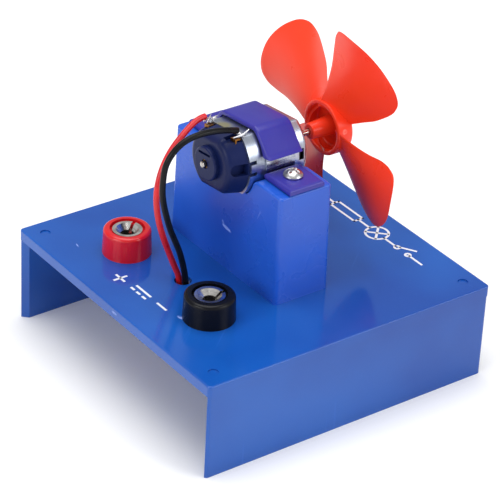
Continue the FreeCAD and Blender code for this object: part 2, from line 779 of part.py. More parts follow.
def bushes():
    bore = shaft_radius + running_gap
    for label, start, end in (("end_cap_bush", front_bush_start, front_bush_end),
                              ("rear_bush", rear_bush_start, rear_bush_end)):
        bush = ring_along_shaft(label, bore, bush_radius, start, end)
        place_in_motor(bush)
        keep(bush)


def motor_shaft():
    shaft = new_body("motor_shaft")
    shaft_end = hub_back - hub_end_thickness / 2
    tip = shaft_radius - shaft_chamfer
    turned_along_shaft(shaft, [
        (shaft_front, zero), (shaft_front, tip), (shaft_front + shaft_chamfer, shaft_radius),
        (shaft_end, shaft_radius), (shaft_end, zero)])
    place_in_motor(shaft)
    keep(shaft)
    grip = shaft_radius + fit_gap
    front = ring_along_shaft("front_washer", grip, washer_outer_radius, front_washer_start,
                             front_washer_start + washer_length)
    rear = ring_along_shaft("rear_washer", grip, washer_outer_radius, rear_washer_end - washer_length,
                            rear_washer_end)
    washers = doc.addObject("Part::Compound", "thrust_washers")
    washers.Label = "thrust_washers"
    washers.Links = [front, rear]
    doc.recompute()
    place_in_motor(washers)
    keep(washers)


# Armature: three-pole core, one coil on each pole, and a commutator with three copper segments

def motor_prism(label, shape):
    """A piece whose outline is drawn with Part's own curves, set down in the motor's place."""
    piece = doc.addObject("Part::Feature", label)
    piece.Label = label
    piece.Shape = shape
    place_in_motor(piece)
    return keep(piece)


def cylinder_y(radius, start, end):
    return Part.makeCylinder(radius.number, (end - start).number, Vector(0, start.number, 0), Vector(0, 1, 0))


def tube_y(inner, outer, start, end):
    """A ring about the motor's axis, bored right through."""
    return cylinder_y(outer, start, end).cut(cylinder_y(inner, start - overrun, end + overrun))


def box(left, right, front, back, bottom, top):
    corner = Vector(left.number, front.number, bottom.number)
    return Part.makeBox((right - left).number, (back - front).number, (top - bottom).number, corner)


def turned_copies(shape, count):
    copies = []
    for number in range(count):
        copy = shape.copy()
        copy.rotate(Vector(0, 0, 0), Vector(0, 1, 0), 360.0 * number / count)
        copies.append(copy)
    return copies


POLES = 3


def armature_core():
    hub = cylinder_y(core_hub_radius, core_start, core_end)
    inner = core_radius - pole_shoe_thickness
    crown = tube_y(inner, core_radius, core_start, core_end)
    half_opening = pole_opening / 2
    gap = box(-half_opening, half_opening, core_start, core_end, -core_radius - overrun, zero)
    shoes = crown.cut(Part.makeCompound(turned_copies(gap, POLES)))
    half_stem = pole_stem_width / 2
    stem = box(-half_stem, half_stem, core_start, core_end, zero, inner + pole_shoe_thickness / 2)
    core = hub.multiFuse(turned_copies(stem, POLES) + [shoes]).removeSplitter()
    core = core.cut(cylinder_y(shaft_radius + fit_gap, core_start - overrun, core_end + overrun))
    motor_prism("armature_core", core)


def armature_windings():
    inner = core_hub_radius + fit_gap
    outer = core_radius - pole_shoe_thickness - fit_gap
    half = pole_stem_width / 2 + fit_gap
    start = core_start - coil_overhang
    end = core_end + coil_overhang
    block = box(-half - coil_thickness, half + coil_thickness, start, end, inner, outer)
    window = box(-half, half, core_start - fit_gap, core_end + fit_gap, zero, core_radius)
    ring = tube_y(inner, outer, start - overrun, end + overrun)
    wedge_reach = core_radius * 2
    half_turn = math.radians(180 / POLES)
    side = Vector(wedge_reach.number * math.sin(half_turn), 0, wedge_reach.number * math.cos(half_turn))
    lift = Vector(0, 0, free_gap.number)
    wedge = Part.makePolygon([lift, lift + side, lift + Vector(-side.x, 0, side.z), lift])
    wedge.translate(Vector(0, (start - overrun).number, 0))
    sector = Part.Face(wedge).extrude(Vector(0, (end - start + overrun * 2).number, 0))
    coil = block.cut(window).common(ring).common(sector)
    motor_prism("armature_windings", Part.makeCompound(turned_copies(coil, POLES)))


def commutator():
    sleeve = ring_along_shaft("commutator_sleeve", shaft_radius + fit_gap, commutator_sleeve_radius,
                              commutator_start, commutator_end)
    place_in_motor(sleeve)
    keep(sleeve)
    shell = tube_y(commutator_sleeve_radius + fit_gap, commutator_radius, commutator_start, commutator_end)
    half_slit = commutator_slit / 2
    slit = box(-half_slit, half_slit, commutator_start, commutator_end, zero, commutator_radius + overrun)
    segments = shell.cut(Part.makeCompound(turned_copies(slit, POLES)))
    motor_prism("commutator_segments", Part.makeCompound(segments.Solids))


# Field magnets and the leaf spring that spreads them against the can

def field_magnets():
    outer = can_radius - can_wall - fit_gap
    inner = outer - magnet_thickness
    end = can_back - can_wall - magnet_back_gap
    start = end - magnet_length
    ring = tube_y(inner, outer, start, end)
    right = ring.common(box(zero, outer, start, end, -magnet_half_height, magnet_half_height))
    left = ring.common(box(-outer, zero, start, end, -magnet_half_height, magnet_half_height))
    motor_prism("field_magnets", Part.makeCompound([right, left]))
    roof = can_half_flat - can_wall - fit_gap
    reach = spring_width
    leaf = box(-reach, reach, start, end, -roof, -roof + spring_thickness)
    lips = [box(reach - spring_thickness, reach, start, end, -roof, -roof + spring_leaf_height),
            box(-reach, -reach + spring_thickness, start, end, -roof, -roof + spring_leaf_height)]
    magnets_clear = ring.common(box(-outer, outer, start, end, -magnet_half_height - seat_gap, outer))
    spring = leaf.multiFuse(lips).removeSplitter().cut(magnets_clear)
    spring = spring.cut(cylinder_y(core_radius + free_gap, start - overrun, end + overrun))
    motor_prism("magnet_spring", spring)


# Leads: hand-chosen places of each lead from its tab to its lug, where the straight runs would meet

BLACK_ROUTE = [
    (5.3, -12.9, 80.0), (5.6, -18.7, 82.2), (4.9, -29.6, 82.0), (4.0, -35.3, 76.0), (3.6, -36.0, 68.8),
    (3.2, -35.5, 62.6), (2.5, -32.3, 52.4), (2.1, -29.8, 46.9), (1.8, -27.4, 41.3), (1.15, -24.6, 31.0),
    (1.15, -24.9, 23.0), (1.15, -24.9, 14.9), (7.0, -27.4, 11.3), (12.85, -29.9, 14.9), (12.85, -29.9, 22.2)]
RED_ROUTE = [
    (-7.5, -14.8, 78.8), (-6.7, -21.5, 76.4), (-5.6, -27.1, 72.5), (-4.4, -31.2, 67.3), (-3.5, -33.2, 61.0),
    (-2.8, -33.0, 54.1), (-2.3, -31.4, 47.4), (-1.9, -29.2, 41.1), (-1.6, -27.3, 36.0), (-1.2, -25.4, 31.4),
    (-1.2, -25.6, 23.0), (-1.2, -25.6, 14.2), (-8.2, -27.8, 10.0), (-15.15, -29.9, 14.2),
    (-15.15, -29.9, 22.2)]
BEND_SHARE = 0.45


def bent_tube(points, diameter):
    """A round tube along straight runs joined by tangent arcs, with its length and its bend radii."""
    edges = []
    last = points[0]
    length = 0.0
    radii = []
    for before, corner, after in zip(points, points[1:], points[2:]):
        back = before - corner
        ahead = after - corner
        turn = math.pi - back.getAngle(ahead)
        step = BEND_SHARE * min(back.Length, ahead.Length)
        radius = step / math.tan(turn / 2)
        start = corner + back.normalize() * step
        end = corner + ahead.normalize() * step
        bisector = (start + end) * 0.5 - corner
        bisector.normalize()
        middle = corner + bisector * (radius / math.cos(turn / 2) - radius)
        edges.append(Part.LineSegment(last, start).toShape())
        edges.append(Part.Arc(start, middle, end).toShape())
        length += (start - last).Length + radius * turn
        radii.append(radius)
        last = end
    edges.append(Part.LineSegment(last, points[-1]).toShape())
    length += (points[-1] - last).Length
    ring = Part.Wire(Part.Circle(points[0], points[1] - points[0], diameter / 2).toShape())
    tube = Part.Wire(edges).makePipeShell([ring], True, False)
    return tube, length, radii


def lead(label, route):
    diameter = lead_diameter.number
    tube, length, radii = bent_tube([Vector(*spot) for spot in route], diameter)
    section = math.pi * diameter ** 2 / 4
    print(label, "length", round(length, 1), "volume", round(tube.Volume, 2), "section x length",
          round(section * length, 2))
    print(label, "radii in diameters", [round(radius / diameter, 1) for radius in radii])
    piece = doc.addObject("Part::Feature", label)
    piece.Label = label
    piece.Shape = tube
    keep(piece)


# Terminal tabs, brush arms and the bare lead ends on the tabs

def terminals():
    front = -cap_front + tab_setback
    top = can_half_flat - tab_drop
    half = tab_width / 2
    upright = box(tab_offset - half, tab_offset + half, front, front + tab_thickness, tab_root, top)
    lid = box(tab_offset - half, tab_offset + half, front, front + tab_reach, top - tab_thickness, top)
    hole_y = front + tab_reach - tab_hole_inset
    hole = Part.makeCylinder(tab_hole_radius.number, (tab_thickness + overrun).number,
                             Vector(tab_offset.number, hole_y.number, (top - tab_thickness).number))
    tab = upright.fuse(lid).removeSplitter().cut(hole)
    tabs = Part.makeCompound([tab, tab.mirror(Vector(0, 0, 0), Vector(1, 0, 0))])
    motor_prism("terminal_tabs", tabs)

    arm_left = commutator_radius + free_gap
    arm_front = front + tab_thickness + fit_gap
    arm_top = tab_root + brush_width
    hanger = box(arm_left, tab_offset, arm_front, arm_front + brush_thickness, tab_root, arm_top)
    finger_right = arm_left + brush_thickness
    finger = box(arm_left, finger_right, arm_front, arm_front + brush_width, -brush_drop, arm_top)
    arm = hanger.fuse(finger).removeSplitter()
    motor_prism("brush_arms", Part.makeCompound([arm, arm.mirror(Vector(0, 0, 0), Vector(1, 0, 0))]))

    joints = []
    strand_radius = (strand_diameter / 2).number
    for side, reach, rise in (
            (1, black_strand_reach, black_strand_rise), (-1, red_strand_reach, red_strand_rise)):
        foot = Vector((tab_offset * side).number, hole_y.number, (top + fit_gap).number + strand_radius)
        start = foot + Vector(0, -reach.number, rise.number)
        wire = Part.makeCylinder(strand_radius, (foot - start).Length, start, foot - start)
        bead = Part.makeCylinder(joint_radius.number, joint_height.number, Vector(foot.x, foot.y, top.number))
        joints.append(wire.fuse(bead))
    motor_prism("tab_joints", Part.makeCompound(joints))


# Clamp: a thin steel strap over the can, a moulded hood that sits on both, and a moulded foot on each end

def clamp_strap():
    body = new_body("clamp_strap")
    half = clamp_width / 2 - strap_inset
    front = clamp_back_offset + half
    ring = new_sketch(body, "XZ_Plane", lift=front, up=axis_over_tower, turn=motor_roll.number)
    flat_round(ring, strap_outer_radius, strap_outer_flat)
    flat_round(ring, strap_inner_radius, strap_inner_flat)
    pad(body, ring, half * 2, reverse=True)
    below = new_sketch(body, "XZ_Plane", lift=front + overrun)
    reach = foot_outer + overrun
    rectangle(below, -reach, reach, -can_radius * 2, zero)
    pocket(body, below, (half + overrun) * 2)
    feet = new_sketch(body, "XZ_Plane", lift=front)
    foot_end = foot_outer - strap_inset
    rectangle(feet, strap_inner_radius, foot_end, zero, strap_thickness)
    rectangle(feet, -foot_end, -strap_inner_radius, zero, strap_thickness)
    pad(body, feet, half * 2, reverse=True)
    holes = new_sketch(body, "XY_Plane", lift=strap_thickness)
    for side in (-1, 1):
        circle(holes, screw_offset * side, -screw_back_offset, screw_shank_radius + seat_gap)
    pocket(body, holes, strap_thickness + overrun)
    place(body, z=tower_top)
    keep(body)


def clamp_hood():
    body = new_body("clamp_hood")
    half = clamp_width / 2
    outer_top = strap_outer_flat + seat_gap + hood_top_thickness
    spread = hood_lip_half - hood_top_half
    profile = new_sketch(body, "XZ_Plane", lift=clamp_back_offset + half)
    polygon(profile, [
        (-hood_lip_half, hood_lip_level), (-hood_top_half, outer_top), (hood_top_half, outer_top),
        (hood_lip_half, hood_lip_level)])
    pad(body, profile, half * 2, reverse=True)

    def shoulder(edge):
        spot = middle_of(edge)
        return along(edge, 1) and abs(spot.z - outer_top.number) < fit_gap.number

    def end_edge(edge):
        spot = middle_of(edge)
        away = abs(abs(spot.y + clamp_back_offset.number) - half.number) < fit_gap.number
        return away and spot.z > (hood_lip_level + fit_gap).number

    dress(body, "Fillet", shoulder, hood_round)
    dress(body, "Fillet", end_edge, hood_edge_round)
    saddle = new_sketch(body, "XZ_Plane", lift=clamp_back_offset + half + overrun)
    flat_round(saddle, strap_inner_radius, strap_inner_flat)
    pocket(body, saddle, (half + overrun) * 2)
    channel_half = half - strap_inset + seat_gap
    channel = new_sketch(body, "XZ_Plane", lift=clamp_back_offset + channel_half)
    flat_round(channel, strap_outer_radius + seat_gap, strap_outer_flat + seat_gap)
    pocket(body, channel, channel_half * 2)
    place_in_motor(body)
    keep(body)


def clamp_feet():
    body = new_body("clamp_foot")
    half = clamp_width / 2
    outline = new_sketch(body, "XY_Plane")
    rectangle(outline, foot_inner, foot_outer, -clamp_back_offset - half, -clamp_back_offset + half)
    pad(body, outline, foot_thickness)

    def top_edge(edge):
        return abs(middle_of(edge).z - foot_thickness.number) < fit_gap.number

    dress(body, "Fillet", top_edge, foot_round)
    hole = new_sketch(body, "XY_Plane")
    circle(hole, screw_offset, -screw_back_offset, screw_shank_radius + seat_gap)
    pocket(body, hole, foot_thickness + overrun, reverse=True)
    pair = mirrored_pair("clamp_feet", body)
    place(pair, z=foot_level)
    keep(pair)


# Round-head screws: the head's crown is one arc in a turned outline

def screw_pair(label, length, head_up):
    body = new_body(label + "_screw")
    profile = new_sketch(body, "XZ_Plane")
    turn = 1 if head_up else -1
    rim = screw_rim_height * turn
    crown = screw_head_height * turn
    tip = length * -turn
    chord = screw_head_radius.number
    rise = (screw_head_height - screw_rim_height).number
    crown_radius = (chord * chord + rise * rise) / (2 * rise)
    middle_lean = math.asin(chord / crown_radius) / 2
    centre = crown.number - crown_radius * turn
    midway_height = centre + crown_radius * math.cos(middle_lean) * turn
    midway = Vector(crown_radius * math.sin(middle_lean), midway_height, 0)
    corners = [(zero, tip), (screw_shank_radius, tip), (screw_shank_radius, zero),
               (screw_head_radius, zero), (screw_head_radius, rim)]
    points = [Vector(x.number, y.number, 0) for x, y in corners]
    top = Vector(0, crown.number, 0)
    for start, end in zip(points, points[1:]):
        profile.addGeometry(Part.LineSegment(start, end), False)
    profile.addGeometry(Part.Arc(points[-1], midway, top), False)
    profile.addGeometry(Part.LineSegment(top, points[0]), False)
    for number, (x, y) in enumerate(corners[:-1]):
        pin(profile, number, 1, x, y)
    pin(profile, 3, 2, screw_head_radius, rim)
    for number in range(3):
        profile.addConstraint(Sketcher.Constraint("Coincident", number, 2, number + 1, 1))
    arc_start, arc_end = (1, 2) if head_up else (2, 1)
    profile.addConstraint(Sketcher.Constraint("Coincident", 3, 2, 4, arc_start))
    profile.addConstraint(Sketcher.Constraint("Coincident", 4, arc_end, 5, 1))
    profile.addConstraint(Sketcher.Constraint("Coincident", 5, 2, 0, 1))
    profile.addConstraint(Sketcher.Constraint("PointOnObject", 4, 3, -2))
    pin(profile, 5, 1, zero, crown)
    doc.recompute()
    solid = body.newObject("PartDesign::Revolution", label + "_turned")
    solid.Profile = profile
    solid.ReferenceAxis = (profile, ["V_Axis"])
    solid.Angle = 360.0
    doc.recompute()
    slot = new_sketch(body, "XY_Plane", lift=crown)
    half_slot = screw_slot_width / 2
    rectangle(slot, -screw_head_radius, screw_head_radius, -half_slot, half_slot)
    pocket(body, slot, screw_slot_depth, reverse=not head_up)
    place(body, x=screw_offset, y=-screw_back_offset)
    pair = mirrored_pair(label, body)
    place(pair, z=foot_top if head_up else plate_underside)
    keep(pair)


# Sockets: a moulded collar on the plate and a plated sleeve through it, with washer, lug and nut below

def sockets():
    top = base_height + collar_height
    head_top = top - sleeve_below_rim
    head_bottom = head_top - sleeve_head_height
    shank_end = plate_underside - sleeve_shank_below
    recess_floor = collar_height - collar_recess_depth
    for label, x, base_radius, turn in (
            ("red_socket", red_socket_x, red_collar_base_radius, red_slit_turn),
            ("black_socket", black_socket_x, collar_base_radius, black_slit_turn)):
        top_radius = base_radius - collar_draft
        collar = new_body(label + "_collar")
        ledge = collar_height - sleeve_below_rim - sleeve_head_height
        revolve(collar, [
            (sleeve_shank_radius + fit_gap, zero), (base_radius, zero), (top_radius, collar_height),
            (collar_recess_radius, collar_height), (collar_recess_radius, recess_floor),
            (sleeve_head_radius + fit_gap, recess_floor), (sleeve_head_radius + fit_gap, ledge),
            (sleeve_shank_radius + fit_gap, ledge)])

        def outer_rim(edge):
            far = edge.Curve.Radius if isinstance(edge.Curve, Part.Circle) else 0
            high = abs(middle_of(edge).z - collar_height.number) < fit_gap.number
            return high and abs(far - top_radius.number) < fit_gap.number

        dress(collar, "Fillet", outer_rim, collar_round)
        place(collar, x=x, y=-socket_forward, z=base_height)
        keep(collar)

        sleeve = new_body(label + "_sleeve")
        revolve(sleeve, [
            (zero, shank_end), (sleeve_shank_radius, shank_end), (sleeve_shank_radius, head_bottom),
            (sleeve_head_radius, head_bottom), (sleeve_head_radius, head_top),
            (bore_radius + mouth_chamfer, head_top), (bore_radius, head_top - mouth_chamfer),
            (bore_radius, shank_end + bore_floor), (zero, shank_end + bore_floor)])
        slit = new_sketch(sleeve, "XY_Plane", lift=head_top)
        half_slit = sleeve_slot_width / 2
        rectangle(slit, -half_slit, half_slit, zero, sleeve_head_radius + overrun)
        pocket(sleeve, slit, sleeve_slot_depth)
        place(sleeve, x=x, y=-socket_forward, turn=turn.number)
        keep(sleeve)

    washer = new_body("socket_washer")
    revolve(washer, [
        (sleeve_shank_radius + fit_gap, lug_top), (ring_radius, lug_top),
        (ring_radius, plate_underside), (sleeve_shank_radius + fit_gap, plate_underside)])
    lug = new_body("solder_lug")
    outline = new_sketch(lug, "XY_Plane", lift=nut_top)
    circle(outline, zero, zero, lug_ring_radius)
    pad(lug, outline, lug_thickness)
    half_tail = lug_tail_width / 2
    tail = new_sketch(lug, "XY_Plane", lift=nut_top)
    rectangle(tail, -lug_tail_reach, zero, -half_tail, half_tail)
    pad(lug, tail, lug_thickness)
    drop = new_sketch(lug, "XY_Plane", lift=lug_top)
    rectangle(drop, -lug_tail_reach, -lug_tail_reach + lug_thickness, -half_tail, half_tail)
    pad(lug, drop, lug_tail_drop, reverse=True)
    eye = new_sketch(lug, "XY_Plane", lift=lug_top)
    circle(eye, zero, zero, sleeve_shank_radius + fit_gap)
    pocket(lug, eye, lug_thickness + overrun)
    nut = new_body("socket_nut")
    corner_share = 1 / math.sqrt(3)
    hexagon = new_sketch(nut, "XY_Plane", lift=nut_top)
    half_nut = nut_across_flats / 2
    corner = nut_across_flats * corner_share
    polygon(hexagon, [
        (half_nut, -corner / 2), (half_nut, corner / 2), (zero, corner),
        (-half_nut, corner / 2), (-half_nut, -corner / 2), (zero, -corner)])
    circle(hexagon, zero, zero, sleeve_shank_radius + fit_gap)
    pad(nut, hexagon, nut_thickness, reverse=True)
    for body, label in ((washer, "socket_washers"), (lug, "solder_lugs"), (nut, "socket_nuts")):
        place(body, x=black_socket_x, y=-socket_forward)
        keep(mirrored_pair(label, body, socket_mirror))


# Fan: cup-shaped hub with a tube for the shaft and four twisted blades

BLADES = 4
ROOT_SHARE = 0.22
# Distances from the shaft at which the blade's sections are drawn
section_shares = [0.13, 0.35, 0.6, 0.82, 1.03]
# A blade's outline seen along the shaft, from its root round its tip: distance outwards, distance across
outline_shares = [
    (0.15, 0.14), (0.36, 0.19), (0.54, 0.26), (0.70, 0.35), (0.83, 0.38), (0.92, 0.29), (0.98, 0.11),
    (0.99, -0.05), (0.95, -0.22), (0.86, -0.37), (0.72, -0.42), (0.49, -0.33), (0.34, -0.23), (0.15, -0.10)]


def blade_section(share):
    """A pitched and curved strip across the blade, as thick as the blade, at one distance from the shaft."""
    travel = (share - ROOT_SHARE) / (1 - ROOT_SHARE)
    middle = 4 * travel * (1 - travel)
    ends = blade_root_pitch.number * (1 - travel) + blade_tip_pitch.number * travel
    halfway = (blade_root_pitch.number + blade_tip_pitch.number) / 2
    pitch = math.radians(ends - (halfway - blade_mid_pitch.number) * middle)
    curve = 1 / ((1 - travel) / blade_root_curve.number + travel / blade_tip_curve.number)
    rest = share * fan_radius.number
    half = blade_thickness.number / 2

    def spot(across, offset):
        axial = -across * math.sin(pitch) + across * across / (2 * curve) + blade_lean.number * travel
        return Vector(-across * math.cos(pitch), axial + offset, rest)

    reach = blade_half_span.number
    front = Part.Arc(spot(-reach, -half), spot(0, -half), spot(reach, -half)).toShape()
    near = Part.LineSegment(spot(reach, -half), spot(reach, half)).toShape()
    back = Part.Arc(spot(reach, half), spot(0, half), spot(-reach, half)).toShape()
    far = Part.LineSegment(spot(-reach, half), spot(-reach, -half)).toShape()
    return Part.Wire([front, near, back, far])


def blade_solid():
    slab = Part.makeLoft([blade_section(share) for share in section_shares], True, False)
    span = (blade_half_span * 2).number
    radius = fan_radius.number
    points = [Vector(-across * radius, -span / 2, out * radius) for out, across in outline_shares]
    curve = Part.BSplineCurve()
    curve.interpolate(points)
    root = Part.LineSegment(points[-1], points[0]).toShape()
    outline = Part.Face(Part.Wire([curve.toShape(), root])).extrude(Vector(0, span, 0))
    core_radius_inside = (hub_radius - hub_wall / 2).number
    core = Part.makeCylinder(core_radius_inside, span, Vector(0, -span / 2, 0), Vector(0, 1, 0))
    return slab.common(outline).cut(core)


def fan():
    front = fan_front.number
    rim = rim_start.number
    back = hub_back.number
    outer = hub_radius.number
    inner = (hub_radius - hub_wall).number
    floor = back - hub_end_thickness.number
    soft = hub_end_round.number
    cut = soft * (1 - math.cos(math.radians(45)))
    bore = (shaft_radius + fit_gap).number
    bore_end = (hub_back - hub_end_thickness / 2 + fit_gap).number
    tube = fan_tube_radius.number
    root = fan_tube_root_radius.number
    outline = [Vector(0, bore_end), Vector(bore, bore_end), Vector(bore, front), Vector(tube, front),
               Vector(root, floor), Vector(inner, floor), Vector(inner, rim), Vector(outer, rim),
               Vector(outer, back - soft)]
    outline = [Vector(0, v.y, v.x) for v in outline]
    edges = [Part.LineSegment(a, b).toShape() for a, b in zip(outline, outline[1:])]
    shoulder = Vector(0, back - cut, outer - cut)
    crown = Vector(0, back, outer - soft)
    edges.append(Part.Arc(outline[-1], shoulder, crown).toShape())
    edges.append(Part.LineSegment(crown, Vector(0, back, 0)).toShape())
    edges.append(Part.LineSegment(Vector(0, back, 0), outline[0]).toShape())
    hub = Part.Face(Part.Wire(edges)).revolve(Vector(0, 0, 0), Vector(0, 1, 0), 360)
    blade = blade_solid()
    blade.translate(Vector(0, (rim_start + blade_setback).number, 0))
    blade.rotate(Vector(0, 0, 0), Vector(0, 1, 0), 90 - fan_phase.number)
    whole = hub.multiFuse(turned_copies(blade, BLADES)).removeSplitter()
    piece = doc.addObject("Part::Feature", "fan")
    piece.Label = "fan"
    piece.Shape = whole
    place(piece, z=axis_height)
    keep(piece)
    print("fan solids", len(whole.Solids), "volume", round(whole.Volume, 1))


# Soldered lead ends on the two lugs

def lug_joints():
    body = new_body("lug_joint")
    section = new_sketch(body, "XY_Plane")
    circle(section, -lug_tail_reach - lug_joint_radius, zero, lug_joint_radius)
    pad(body, section, lug_joint_length)
    place(body, x=black_socket_x, y=-socket_forward)
    pair = mirrored_pair("lug_joints", body, socket_mirror)
    place(pair, z=lug_top - lug_tail_drop + lug_joint_lift)
    keep(pair)


base_stand()
motor_tower()
motor_can()
end_cap()
bushes()
motor_shaft()
armature_core()
armature_windings()
commutator()
field_magnets()
terminals()
clamp_strap()
clamp_hood()
clamp_feet()
screw_pair("clamp_screws", clamp_screw_length, True)
screw_pair("tower_screws", tower_screw_length, False)
sockets()
fan()
lead("black_lead", BLACK_ROUTE)
lead("red_lead", RED_ROUTE)
lug_joints()

doc.recompute()

for item in doc.Objects:
    if "Invalid" in item.State or "Error" in item.State:
        raise RuntimeError(f"{item.Label} failed: {item.State}")
os.makedirs("parts", exist_ok=True)
for label, piece in nodes.items():
    shape = piece.Shape
    if shape.isNull() or not shape.isValid() or not shape.Solids:
        raise RuntimeError(f"{label} has no valid solid")
    shape.exportStep(f"parts/{label}.step")
print(len(nodes), "nodes written")
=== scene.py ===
import json
import math

import bmesh
import bpy
from mathutils import Matrix, Vector


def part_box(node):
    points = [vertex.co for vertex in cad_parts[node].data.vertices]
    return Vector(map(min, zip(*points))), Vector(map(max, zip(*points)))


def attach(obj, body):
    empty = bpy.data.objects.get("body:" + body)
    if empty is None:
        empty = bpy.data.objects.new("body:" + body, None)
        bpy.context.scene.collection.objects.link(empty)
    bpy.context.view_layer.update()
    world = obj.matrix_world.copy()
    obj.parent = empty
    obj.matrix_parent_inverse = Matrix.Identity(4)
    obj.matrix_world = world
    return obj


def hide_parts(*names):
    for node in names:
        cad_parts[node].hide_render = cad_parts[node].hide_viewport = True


# A small demonstration motor with a fan, clamped on a block on a raised stand with two sockets.
# X runs along the front edge, Y along the motor's shaft towards the fan, Z up. Lengths are in metres.

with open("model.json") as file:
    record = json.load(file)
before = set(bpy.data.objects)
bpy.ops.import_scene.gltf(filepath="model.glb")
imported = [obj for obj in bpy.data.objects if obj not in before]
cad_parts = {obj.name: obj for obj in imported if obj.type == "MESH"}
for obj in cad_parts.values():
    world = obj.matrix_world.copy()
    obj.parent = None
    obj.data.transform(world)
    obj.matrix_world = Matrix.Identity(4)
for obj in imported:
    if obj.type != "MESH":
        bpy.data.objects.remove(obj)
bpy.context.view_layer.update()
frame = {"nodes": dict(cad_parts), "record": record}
nodes = frame["nodes"]

MM = 0.001
# Points nearer than this are one point, and places nearer than this are the same place
MERGE_GAP = 0.0002 * MM
SAME_PLACE = 0.01 * MM


# Places that several pieces share, read from the frame

def middle_of(node):
    low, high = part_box(node)
    return (low + high) / 2


plate_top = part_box("base_stand")[1].z
axis_height = middle_of("motor_shaft").z


# Finishes

def linear(red, green, blue):
    """A colour given as it shows on a screen, from 0 to 255, as the shader wants it."""
    channels = []
    for channel in (red, green, blue):
        share = channel / 255
        channels.append(share / 12.92 if share <= 0.04045 else ((share + 0.055) / 1.055) ** 2.4)
    return (*channels, 1.0)


class Finish:
    """A material under construction: its nodes, its links and the shader that they feed."""

    def __init__(self, name):
        self.material = bpy.data.materials.new(name)
        self.material.use_nodes = True
        tree = self.material.node_tree
        self.nodes = tree.nodes
        self.links = tree.links
        self.shader = tree.nodes["Principled BSDF"]
        self.place = self.nodes.new("ShaderNodeTexCoord").outputs["Object"]

    def join(self, output, target):
        self.links.new(output, target)

    def stretched(self, scale, turn=(0.0, 0.0, 0.0), centre=(0.0, 0.0, 0.0)):
        mapping = self.nodes.new("ShaderNodeMapping")
        mapping.vector_type = "TEXTURE"
        mapping.inputs["Location"].default_value = centre
        mapping.inputs["Rotation"].default_value = turn
        mapping.inputs["Scale"].default_value = [1 / value for value in scale]
        self.join(self.place, mapping.inputs["Vector"])
        return mapping.outputs["Vector"]

    def noise(self, size, detail=3.0, rough=0.5, vector=None, distort=0.0):
        """Soft patches about as wide as size, in metres, unless a stretched vector is given."""
        node = self.nodes.new("ShaderNodeTexNoise")
        node.inputs["Scale"].default_value = 1 / size
        node.inputs["Detail"].default_value = detail
        node.inputs["Roughness"].default_value = rough
        node.inputs["Distortion"].default_value = distort
        self.join(vector if vector else self.place, node.inputs["Vector"])
        return node.outputs["Fac"]

    def spread(self, value, low, high, start=0.3, end=0.7):
        node = self.nodes.new("ShaderNodeMapRange")
        for name, number in (("From Min", start), ("From Max", end), ("To Min", low), ("To Max", high)):
            node.inputs[name].default_value = number
        self.join(value, node.inputs["Value"])
        return node.outputs["Result"]

    def sum_of(self, one, other, kind="ADD"):
        node = self.nodes.new("ShaderNodeMath")
        node.operation = kind
        for number, value in enumerate((one, other)):
            if isinstance(value, float):
                node.inputs[number].default_value = value
            else:
                self.join(value, node.inputs[number])
        return node.outputs["Value"]

    def tint(self, value, first, second, start=0.3, end=0.7):
        """A colour that runs from the first to the second as the value rises."""
        ramp = self.nodes.new("ShaderNodeValToRGB")
        ramp.color_ramp.elements[0].position = start
        ramp.color_ramp.elements[0].color = first
        ramp.color_ramp.elements[1].position = end
        ramp.color_ramp.elements[1].color = second
        self.join(value, ramp.inputs["Fac"])
        return ramp.outputs["Color"]

    def mix(self, share, first, second):
        node = self.nodes.new("ShaderNodeMix")
        node.data_type = "RGBA"
        self.join(share, node.inputs["Factor"])
        for name, value in (("A", first), ("B", second)):
            socket = next(s for s in node.inputs if s.name == name and s.type == "RGBA")
            if isinstance(value, tuple):
                socket.default_value = value
            else:
                self.join(value, socket)
        return next(s for s in node.outputs if s.type == "RGBA")

    def bump(self, height, depth, strength=1.0, under=None):
        node = self.nodes.new("ShaderNodeBump")
        node.inputs["Strength"].default_value = strength
        node.inputs["Distance"].default_value = depth
        self.join(height, node.inputs["Height"])
        if under:
            self.join(under, node.inputs["Normal"])
        return node.outputs["Normal"]

    def spot(self, centre, reach, turn=(0.0, 0.0, 0.0), soft=0.35):
        """One inside an ellipsoid of those half widths about a centre, both in millimetres, nought outside."""
        vector = self.stretched([1 / (value * MM) for value in reach], turn, [value * MM for value in centre])
        node = self.nodes.new("ShaderNodeVectorMath")
        node.operation = "LENGTH"
        self.join(vector, node.inputs[0])
        return self.spread(node.outputs["Value"], 1.0, 0.0, start=1 - soft, end=1.0)

    def feed(self, **sockets):
        """Set or link the shader's sockets by name, with underscores for spaces."""
        for name, value in sockets.items():
            socket = self.shader.inputs[name.replace("_", " ")]
            if isinstance(value, (float, int, tuple)):
                socket.default_value = value
            else:
                self.join(value, socket)
        return self.material


def scratches(finish, size, length_share, turn, edge):
    """Fine scratches along one direction: stretched noise, cut to its highest lines."""
    vector = finish.stretched((1.0, length_share, length_share), turn=turn)
    lines = finish.noise(size, detail=1.0, vector=vector)
    return finish.spread(lines, 0.0, 1.0, start=edge, end=edge + 0.04)


